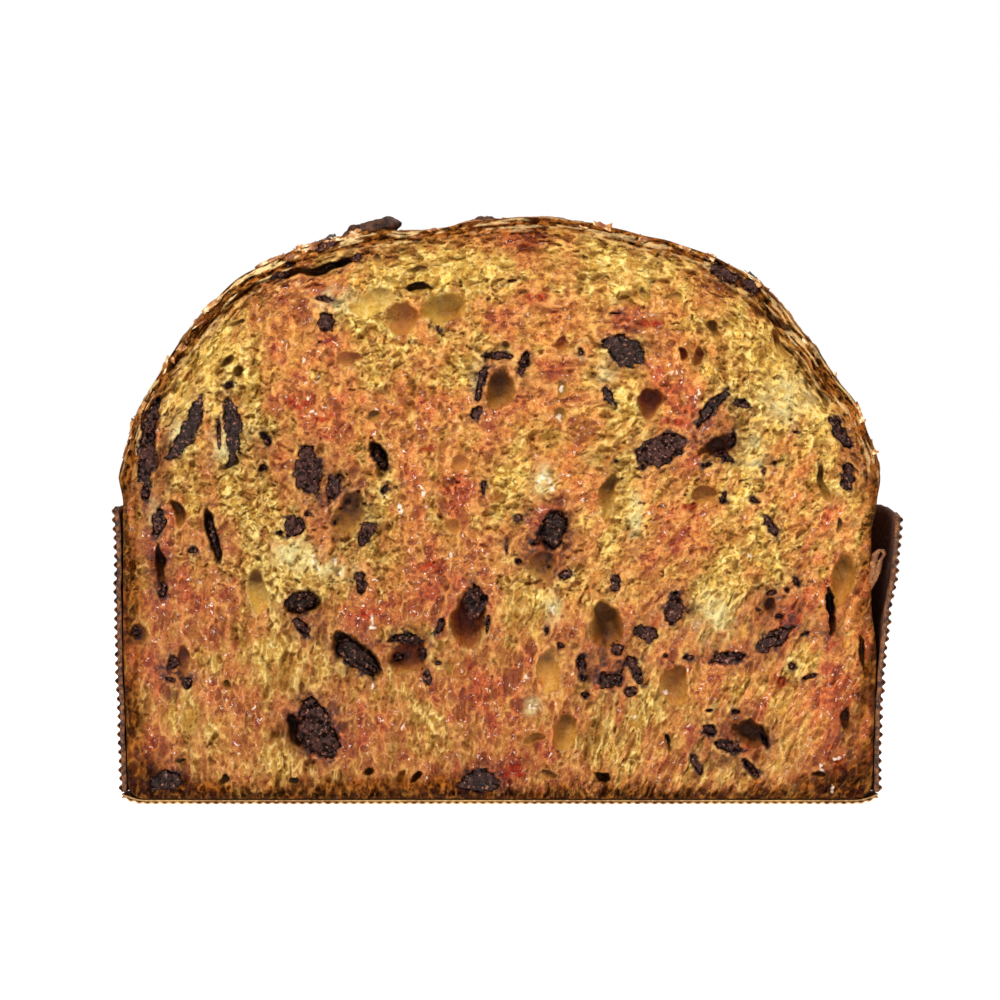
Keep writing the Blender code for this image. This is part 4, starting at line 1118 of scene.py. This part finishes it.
make_piece("chocolate_in_crumb", mesh, chocolate, "chocolate", *INLAID)


def melted(bm, grains, shift):
    """Pushes a body in and out along its own directions with noise of several sizes."""
    bm.normal_update()
    places = np.array([vert.co for vert in bm.verts]) * 1000.0
    push = np.zeros(len(places))
    for length, size in grains:
        push += size * waves(places, length, shift)
    for vert, amount in zip(bm.verts, push.tolist()):
        vert.co += vert.normal * (amount * MM)


# Chocolate that lies on the crust: broken chunks of the same dark chocolate, half sunk in the dough
# before it baked. The oven dried them, so they are dull and dusty brown with bloomed sugar.
LUMP_CUTS = 7
LUMP_GRAINS = ((4.0, 0.5), (1.6, 0.4), (0.7, 0.15))

dusty, tree, shader = new_material("dark chocolate, baked dry", Roughness=0.6, Specular_IOR_Level=0.15)
marks = surface_marks(tree, (), (("bloom", 1.6, 4.0, 0.65, 0.0),))
ramps = (("bloomed", "bloom", 0.36, 0.64, 0.0, 1.0),)
layers = (("darker_brown", "bloomed", "#1e0d08", "#5a3a28"),)
tree.links.new(paint(tree, marks, ramps, layers), shader.inputs["Base Color"])
bump = add_node(tree, "ShaderNodeBump", {"Strength": 0.8, "Distance": 0.0005, "Height": marks["bloom"]})
tree.links.new(bump, shader.inputs["Normal"])

bm = bmesh.new()
for node in CRUST_LUMPS:
    bm.from_mesh(frame["nodes"][node].data)
bmesh.ops.remove_doubles(bm, verts=bm.verts, dist=0.00001)
bmesh.ops.subdivide_edges(bm, edges=bm.edges, cuts=LUMP_CUTS, use_grid_fill=True)
bmesh.ops.smooth_vert(bm, verts=bm.verts, factor=0.5, use_axis_x=True, use_axis_y=True, use_axis_z=True)
melted(bm, LUMP_GRAINS, (1.0, 2.0, 3.0))
bmesh.ops.triangulate(bm, faces=bm.faces)
mesh = finished(bm, "chocolate_on_crust")
make_piece("chocolate_on_crust", mesh, dusty, "chocolate", *CRUST_LUMPS)


# The crust: the loaf's own baked skin, gold to chestnut brown, matt and dry, wrinkled and blistered
# Its sides and foot are smooth, dark and buttery from the paper. Painted shade lies in the valleys of its
# wrinkles.
DOME_STEPS = 420
SIDE_STEPS = 140
CRUST_START = 66.0
CRUST_LAP = 1.2
WRINKLES = ((6.5, 0.45), (3.0, 0.32), (1.4, 0.2))

crust, tree, shader = new_material("baked crust", Roughness=0.58)
patterns = (("broad", 26.3, 4.0, 0.6, 0.0), ("blister", 4.76, 4.0, 0.65, 0.0), ("speck", 1.11, 3.0, 0.6, 0.0))
marks = surface_marks(tree, ("valley", "scorch"), patterns)
ramps = (
    ("ruddy", "broad", 0.35, 0.62, 0.0, 1.0),
    # Golden on the tops of the blister bump, darker in its dimples
    ("golden", "blister", 0.55, 0.72, 0.0, 1.0),
    ("dimpled", "blister", 0.45, 0.3, 0.0, 1.0),
    ("floury", "speck", 0.56, 0.7, 0.0, 0.5),
)
layers = (
    ("skin", "ruddy", "#a2662e", "#733e1a"),
    ("skin", "golden", "skin", "#c98a44"),
    ("skin", "dimpled", "skin", "#5c2a10"),
    # Painted shade in the wrinkle valleys
    ("skin", "valley", "skin", "#4c220d"),
    ("skin", "scorch", "skin", "#3a180a"),
    ("skin", "floury", "skin", "#d9a560"),
)
tree.links.new(paint(tree, marks, ramps, layers), shader.inputs["Base Color"])
bump = add_node(tree, "ShaderNodeBump", {"Strength": 0.5, "Distance": 0.0008, "Height": marks["blister"]})
bump = add_node(
    tree, "ShaderNodeBump", {"Strength": 0.35, "Distance": 0.0003, "Height": marks["speck"], "Normal": bump}
)
tree.links.new(bump, shader.inputs["Normal"])


def spun_mesh(name, profile, steps):
    """Turns a profile of radius and height half way round the loaf's axis, still in millimetres."""
    bm = bmesh.new()
    points = [bm.verts.new((-radius, 0.0, level)) for radius, level in profile]
    for first, second in zip(points, points[1:]):
        bm.edges.new((first, second))
    geometry = bm.verts[:] + bm.edges[:]
    axis = {"cent": (0.0, 0.0, 0.0), "axis": (0.0, 0.0, 1.0)}
    bmesh.ops.spin(bm, geom=geometry, angle=-math.pi, steps=steps, use_merge=False, **axis)
    bmesh.ops.remove_doubles(bm, verts=bm.verts, dist=0.005)
    bmesh.ops.recalc_face_normals(bm, faces=bm.faces)
    return finished(bm, name)


def turned(mesh):
    """Turn round the loaf, radius and height of every vertex."""
    places = mesh_places(mesh)
    turn = np.arctan2(np.maximum(places[:, 1], 0.0), places[:, 0])
    return turn, np.hypot(places[:, 0], places[:, 1]), places[:, 2]


def face_out(mesh, sample_out):
    """Turns a mesh inside out if its faces look inwards."""
    normals = np.array([polygon.normal for polygon in mesh.polygons])
    centres = np.array([polygon.center for polygon in mesh.polygons])
    if (normals * (centres - np.array(sample_out))).sum() < 0.0:
        mesh.flip_normals()


dome_across, dome_height = loaf_profile(60, 170)
for name, rows, steps in (
    ("crust_dome", dome_height >= CRUST_START, DOME_STEPS),
    ("crust_side", dome_height <= CRUST_START + CRUST_LAP, SIDE_STEPS),
):
    mesh = spun_mesh(name, list(zip(dome_across[rows], dome_height[rows])), steps)
    turn, radius, level = turned(mesh)
    x, y, z = loaf_surface(turn, radius, level)
    places = np.stack((x, y, z), axis=1)
    relief = np.zeros(x.shape)
    for length, size in WRINKLES:
        relief += size * waves(places * np.array((1.0, 1.0, 1.6)), length)
    ridge = np.abs(waves(places, 5.0, (2.0, 9.0, 4.0)))
    relief -= 0.55 * (1.0 - ease(ridge / 0.12))
    free = ease((z - 73.0) / 6.0) * ease((y - CUT) / 3.0)
    centre = np.array((0.0, CUT, 60.0))
    outward = places - centre
    outward /= np.linalg.norm(outward, axis=1)[:, None]
    places = places + outward * (relief * free)[:, None]
    places[:, 1] = np.maximum(places[:, 1], CUT + 0.35)
    set_places(mesh, *places.T)
    # Painted shade in the valleys of the wrinkles
    valley = np.clip(-relief * 1.3 - 0.1, 0.0, 1.0) * free
    set_marks(mesh, valley=valley, scorch=0.65 * ease((20.0 - z) / 20.0))
    face_out(mesh, (0.0, CUT * MM, 0.05))
    make_piece(name, mesh, crust, "bread", "bread")


# Flakes of the crust: thin, brittle scraps of skin that the bread knife lifted along the dome's cut
# edge. They are caramel brown with patches of cream, and each hangs on by one end.
FLAKES = 95
FLAKE_THICK = 0.22

skin, tree, shader = new_material(
    "flaked crust skin", Roughness=0.5, Subsurface_Weight=0.1, Subsurface_Scale=0.001
)
marks = surface_marks(tree, (), (("patch", 2.5, 3.0, 0.6, 0.0),))
ramps = (("caramel", "patch", 0.4, 0.56, 0.0, 1.0), ("cream", "patch", 0.54, 0.62, 0.0, 1.0))
layers = (("skin", "caramel", "#7a3c10", "#c88a44"), ("skin", "cream", "skin", "#f0d8a8"))
tree.links.new(paint(tree, marks, ramps, layers), shader.inputs["Base Color"])


def thicken(piece, name, thickness):
    """Gives a sheet its thickness in millimetres, half to each side."""
    thick = piece.modifiers.new(name, "SOLIDIFY")
    thick.thickness = thickness * MM
    thick.offset = 0.0


draw = random.Random(11)
bm = bmesh.new()
for index in range(FLAKES):
    share = draw.uniform(0.21, 0.42) if index % 3 else draw.uniform(0.42, 0.79)
    middle = int(np.searchsorted(line_length, share * line_length[-1]))
    base = dome_line[middle]
    ahead = dome_line[middle + 4] - dome_line[middle - 4]
    ahead /= np.hypot(*ahead)
    outwards = np.array((-ahead[1], ahead[0]))
    length = draw.uniform(1.2, 4.6)
    width = draw.uniform(0.8, 2.4)
    lift = draw.uniform(-0.05, 0.2) * length
    start = draw.uniform(-1.4, 0.1)
    tilt = draw.uniform(0.3, 1.0)
    back = draw.uniform(0.0, 2.5)
    side = draw.choice((-1.0, 1.0))
    phase = draw.uniform(0.0, 50.0)
    made = bmesh.ops.create_grid(bm, x_segments=6, y_segments=4, size=0.5)["verts"]
    square = np.array([vert.co for vert in made]) + 0.5
    taper = 1.0 - 0.6 * square[:, 0] + 0.3 * soft_noise(square[:, 0] * 5.0 + phase, square[:, 1] * 2.0, 41)
    way = side * (square[:, 0] - 0.3) * length
    high = start + lift * square[:, 0] ** 2 + tilt * (square[:, 1] - 0.5) * width * taper
    high += 0.25 * soft_noise(square[:, 0] * 3.0 + phase, square[:, 1] * 3.0, 42)
    x = base[0] + ahead[0] * way + outwards[0] * high
    z = base[1] + ahead[1] * way + outwards[1] * high
    y = CUT - 0.1 + back + (square[:, 1] - 0.5) * width * taper * (1.1 - tilt)
    for vert, px, py, pz in zip(made, x.tolist(), np.maximum(y, CUT - 0.5).tolist(), z.tolist()):
        vert.co = (px * MM, py * MM, pz * MM)
mesh = finished(bm, "crust_flakes")
piece = make_piece("crust_flakes", mesh, skin, "bread", "bread")
thicken(piece, "skin", FLAKE_THICK)


# A scrap of crumb that the knife pulled out of the loaf's side. It dried to a brown curl and hangs in
# the gap beside the paper. Each point is x, z and half its thickness.
SCRAP = (
    (90.2, 54, 0.5),
    (90.9, 56.6, 0.9),
    (91, 59, 1),
    (91.9, 61.4, 0.9),
    (93.2, 62.4, 0.7),
    (93.8, 61.2, 0.5),
    (92.9, 59.6, 0.6),
    (92.3, 57.4, 0.8),
    (91.6, 55.2, 0.7),
    (90.4, 52.6, 0.4),
)
SCRAP_SIDES = 10
SCRAP_RINGS = 46

bm = bmesh.new()
made = bmesh.ops.create_grid(bm, x_segments=SCRAP_RINGS - 1, y_segments=SCRAP_SIDES, size=0.5)["verts"]
for vert in made:
    step = round((vert.co.x + 0.5) * (SCRAP_RINGS - 1))
    side = round((vert.co.y + 0.5) * SCRAP_SIDES) % SCRAP_SIDES
    way = step * (len(SCRAP) - 1) / (SCRAP_RINGS - 1)
    px, pz, size = [np.interp(way, range(len(SCRAP)), line) for line in zip(*SCRAP)]
    turn = 2.0 * math.pi * side / SCRAP_SIDES
    bumpy = size * (0.8 + 0.9 * abs(noise.noise(Vector((step * 0.5, side * 0.9, 3.0)))))
    depth = CUT + 0.9 + bumpy * math.sin(turn)
    vert.co = ((px + bumpy * math.cos(turn)) * MM, depth * MM, pz * MM)
bmesh.ops.remove_doubles(bm, verts=bm.verts, dist=0.000001)
bmesh.ops.holes_fill(bm, edges=[edge for edge in bm.edges if edge.is_boundary], sides=0)
bmesh.ops.recalc_face_normals(bm, faces=bm.faces)
mesh = finished(bm, "crumb_scrap")
make_piece("crumb_scrap", mesh, crust, "bread", "bread")


# The underside of the loaf: dark, dry bottom crust that baked flat on the board of the case. One half
# disc, which closes the loaf from below.
bm = bmesh.new()
bmesh.ops.create_circle(bm, cap_ends=True, segments=96, radius=(RADIUS - CORNER - TAPER + 0.3) * MM)
bmesh.ops.translate(bm, verts=bm.verts, vec=(0.0, CUT * MM, FOOT * MM))
half = bm.verts[:] + bm.edges[:] + bm.faces[:]
bmesh.ops.bisect_plane(
    bm, geom=half, plane_co=(0.0, (CUT + 0.4) * MM, 0.0), plane_no=(0.0, -1.0, 0.0), clear_outer=True
)
bmesh.ops.reverse_faces(bm, faces=bm.faces)
mesh = finished(bm, "crust_foot")
make_piece("crust_foot", mesh, crust, "bread", "bread")


# The baking case: a smooth brown paper liner glued to a fluted sheet whose flutes run round the loaf.
# Both are matt kraft paper, dark from the oven and the butter, torn unevenly along the rim. A painted
# highlight lies on the crests of the flutes.
CASE_INNER = 92.6
CASE_FOOT = 3.1
CASE_TOP = 72.4
LINER = 0.3
FLUTE = 0.9
FLUTES = 32
FLUTE_POINTS = 8
PAPER = 0.3
LINER_THICK = 1.1
LINER_ROWS = 40
CASE_STEPS = 110
CUT_TURN = 0.006

paper, tree, shader = new_material("browned kraft paper", Roughness=0.82)
patterns = (("stain", 22.2, 4.0, 0.6, 0.0), ("fibre", 0.909, 3.0, 0.6, 0.0), ("torn", 1.6, 4.0, 0.7, 0.0))
marks = surface_marks(tree, ("crest", "cut_edge"), patterns)
ramps = (
    ("buttery", "stain", 0.38, 0.62, 0.0, 1.0),
    ("plies", "torn", 0.44, 0.6, 0.0, 1.0),
    ("fuzzy", "fibre", 0.52, 0.68, 0.0, 0.5),
)
layers = (
    ("paper", "buttery", "#45190c", "#622e18"),
    # A painted highlight on the crests of the flutes
    ("paper", "crest", "paper", "#74462a"),
    ("cut", "plies", "#260e06", "#7e4a22"),
    ("paper", "cut_edge", "paper", "cut"),
    ("paper", "fuzzy", "paper", "#a97848"),
)
tree.links.new(paint(tree, marks, ramps, layers), shader.inputs["Base Color"])
bump = add_node(tree, "ShaderNodeBump", {"Strength": 0.4, "Distance": 0.0002, "Height": marks["fibre"]})
tree.links.new(bump, shader.inputs["Normal"])


def case_place(mesh):
    """Leans the turned case as the paper stands: narrower at its foot, slack and peeled at the rim."""
    turn, radius, level = turned(mesh)
    share = (level - CASE_FOOT) / (CASE_TOP - CASE_FOOT)
    peel = 3.6 * ease((level - 30.0) / 42.0) * bell(turn, 0.0, 0.42)
    slack = 0.35 * ease((level - 40.0) / 30.0) * (1.0 + np.sin(5.0 * turn))
    slack = slack + 0.25 * soft_noise(turn * 30.0, level / 1.9, 33)
    slack = slack + 0.2 * soft_noise(turn * 9.0, level / 6.0, 34)
    grown = radius - case_taper(level) + peel + slack
    rim = 0.5 * np.sin(4.0 * turn + 0.6) + 0.3 * np.sin(9.0 * turn) - 2.2 * bell(turn, 0.0, 0.2)
    tear = 0.35 * soft_noise(turn * 40.0, 0.0 * turn, 31) + 0.2 * soft_noise(turn * 110.0, 0.0 * turn, 32)
    raised = level + share * share * rim + share ** 8 * tear
    x = grown * np.cos(turn)
    y = np.maximum(CUT + grown * np.sin(turn), CUT)
    set_places(mesh, x, y, raised)
    return turn, radius, level


pitch = (CASE_TOP - CASE_FOOT) / FLUTES
levels = CASE_FOOT + pitch * np.arange(FLUTES * FLUTE_POINTS + 1) / FLUTE_POINTS
middle = CASE_INNER + LINER + PAPER + 0.5 * FLUTE
flute_profile = middle - 0.5 * FLUTE * np.cos(2.0 * math.pi * (levels - CASE_FOOT) / pitch)
liner_levels = np.linspace(CASE_FOOT, CASE_TOP, LINER_ROWS)
for name, profile in (
    ("case_flutes", list(zip(flute_profile, levels))),
    ("case_liner", list(zip(np.full(LINER_ROWS, CASE_INNER + 0.35), liner_levels))),
):
    mesh = spun_mesh(name, profile, CASE_STEPS)
    turn, radius, level = case_place(mesh)
    # Painted highlight, strongest on the crests of the flutes
    crest_light_share = np.clip((radius - middle) / FLUTE + 0.5, 0.0, 1.0) * (name == "case_flutes")
    near_cut = np.maximum(1.0 - turn / CUT_TURN, 1.0 - (math.pi - turn) / CUT_TURN)
    set_marks(mesh, crest=crest_light_share, cut_edge=np.clip(near_cut, 0.0, 1.0))
    face_out(mesh, (0.0, CUT * MM, 0.035))
    piece = make_piece(name, mesh, paper, "case_paper", "case_wall")
    thicken(piece, "paper", PAPER if name == "case_flutes" else LINER_THICK)


# The base of the case: a flat paper disc on flutes that run from front to back, its rim turned up
# under the wall. Unbleached and matt, tan where it was cut, with browned spots of butter.
BOARD_FLAT = 86.0
BOARD_RADIUS = 92.4
BOARD_LIFT = 1.6
BASE_PITCH = 2.1
BASE_SWING = 0.2232
BASE_GRID = (460, 24)

board, tree, shader = new_material("tan kraft board", Roughness=0.85)
marks = surface_marks(tree, (), (("fibre", 1.0, 3.0, 0.6, 0.0), ("stain", 16.7, 3.0, 0.6, 0.0)))
ramps = (("browned", "stain", 0.38, 0.62, 0.0, 1.0), ("fuzzy", "fibre", 0.5, 0.7, 0.0, 0.7))
layers = (("board", "browned", "#b98a4c", "#8a5a2a"), ("board", "fuzzy", "board", "#e6c68c"))
tree.links.new(paint(tree, marks, ramps, layers), shader.inputs["Base Color"])

for name, low, high, wavy in (("base_sheet", 0.78, 1.1, 0.0), ("base_flutes", 0.0, 0.34, 1.0)):
    bm = bmesh.new()
    bmesh.ops.create_grid(bm, x_segments=BASE_GRID[0], y_segments=BASE_GRID[1], size=0.5)
    mesh = finished(bm, name)
    square = mesh_places(mesh)
    x = 2.0 * BOARD_RADIUS * square[:, 0] * 0.9999
    back = np.sqrt(BOARD_RADIUS ** 2 - x ** 2)
    y = CUT + back * (square[:, 1] + 0.5)
    rim = np.clip((np.hypot(x, y - CUT) - BOARD_FLAT) / (BOARD_RADIUS - BOARD_FLAT), 0.0, 1.0)
    swing = wavy * BASE_SWING * (1.0 - np.cos(2.0 * math.pi * x / BASE_PITCH))
    set_places(mesh, x, y, 0.5 * (low + high) + swing + BOARD_LIFT * rim * rim)
    piece = make_piece(name, mesh, board, "case_paper", "case_base")
    thicken(piece, "paper", PAPER)


# The studio: a plain white floor that runs into a white surround, one large soft key from the front
# and above, a weaker fill from the right, and a rim light over the crust.
PIXEL = 0.244
PHOTO_SIZE = 1000
PHOTO_FLOOR_ROW = 805
CAMERA_WAY = 1900.0
CAMERA_RISE = math.radians(1.2)
SENSOR = 36.0

bm = bmesh.new()
bmesh.ops.create_grid(bm, x_segments=1, y_segments=1, size=6.0)
mesh = finished(bm, "floor")
floor = bpy.data.objects.new("floor", mesh)
bpy.context.scene.collection.objects.link(floor)
floor_paint, tree, shader = new_material("white floor", Roughness=0.9, Emission_Strength=0.78)
shader.inputs["Base Color"].default_value = linear("#fafafa")
shader.inputs["Emission Color"].default_value = linear("#ffffff")
mesh.materials.append(floor_paint)

world = bpy.data.worlds.new("white surround")
world.use_nodes = True
tree = world.node_tree
soft = tree.nodes["Background"]
soft.inputs["Color"].default_value = (1.0, 1.0, 1.0, 1.0)
soft.inputs["Strength"].default_value = 0.3
white = add_node(tree, "ShaderNodeBackground", {"Color": (1.0, 1.0, 1.0, 1.0), "Strength": 1.0})
seen = add_node(tree, "ShaderNodeLightPath", {}, "Is Camera Ray")
both = add_node(tree, "ShaderNodeMixShader", {0: seen, 1: soft.outputs[0], 2: white})
tree.links.new(both, tree.nodes["World Output"].inputs["Surface"])
bpy.context.scene.world = world

target = Vector((0.0, CUT * MM, (PHOTO_FLOOR_ROW - 0.5 * PHOTO_SIZE) * PIXEL * MM))
for name, place, size, power in (
    ("key", (-0.35, -0.85, 1.15), 0.4, 16.8),
    ("fill", (0.9, -1.0, 0.5), 0.8, 3.0),
    ("crown", (0.2, 0.5, 1.0), 0.6, 4.0),
):
    lamp = bpy.data.lights.new(name, "AREA")
    lamp.size = size
    lamp.energy = power
    light = bpy.data.objects.new(name, lamp)
    light.location = place
    light.rotation_euler = (target - light.location).to_track_quat("-Z", "Y").to_euler()
    bpy.context.scene.collection.objects.link(light)

camera = bpy.data.objects.new("camera", bpy.data.cameras.new("camera"))
camera.data.sensor_width = SENSOR
camera.data.lens = SENSOR * CAMERA_WAY / (PHOTO_SIZE * PIXEL)
camera.data.clip_end = 20.0
away = Vector((0.0, -math.cos(CAMERA_RISE), math.sin(CAMERA_RISE)))
camera.location = target + away * CAMERA_WAY * MM
camera.rotation_euler = (target - camera.location).to_track_quat("-Z", "Y").to_euler()
bpy.context.scene.collection.objects.link(camera)
bpy.context.scene.camera = camera
bpy.context.scene.view_settings.view_transform = "Standard"
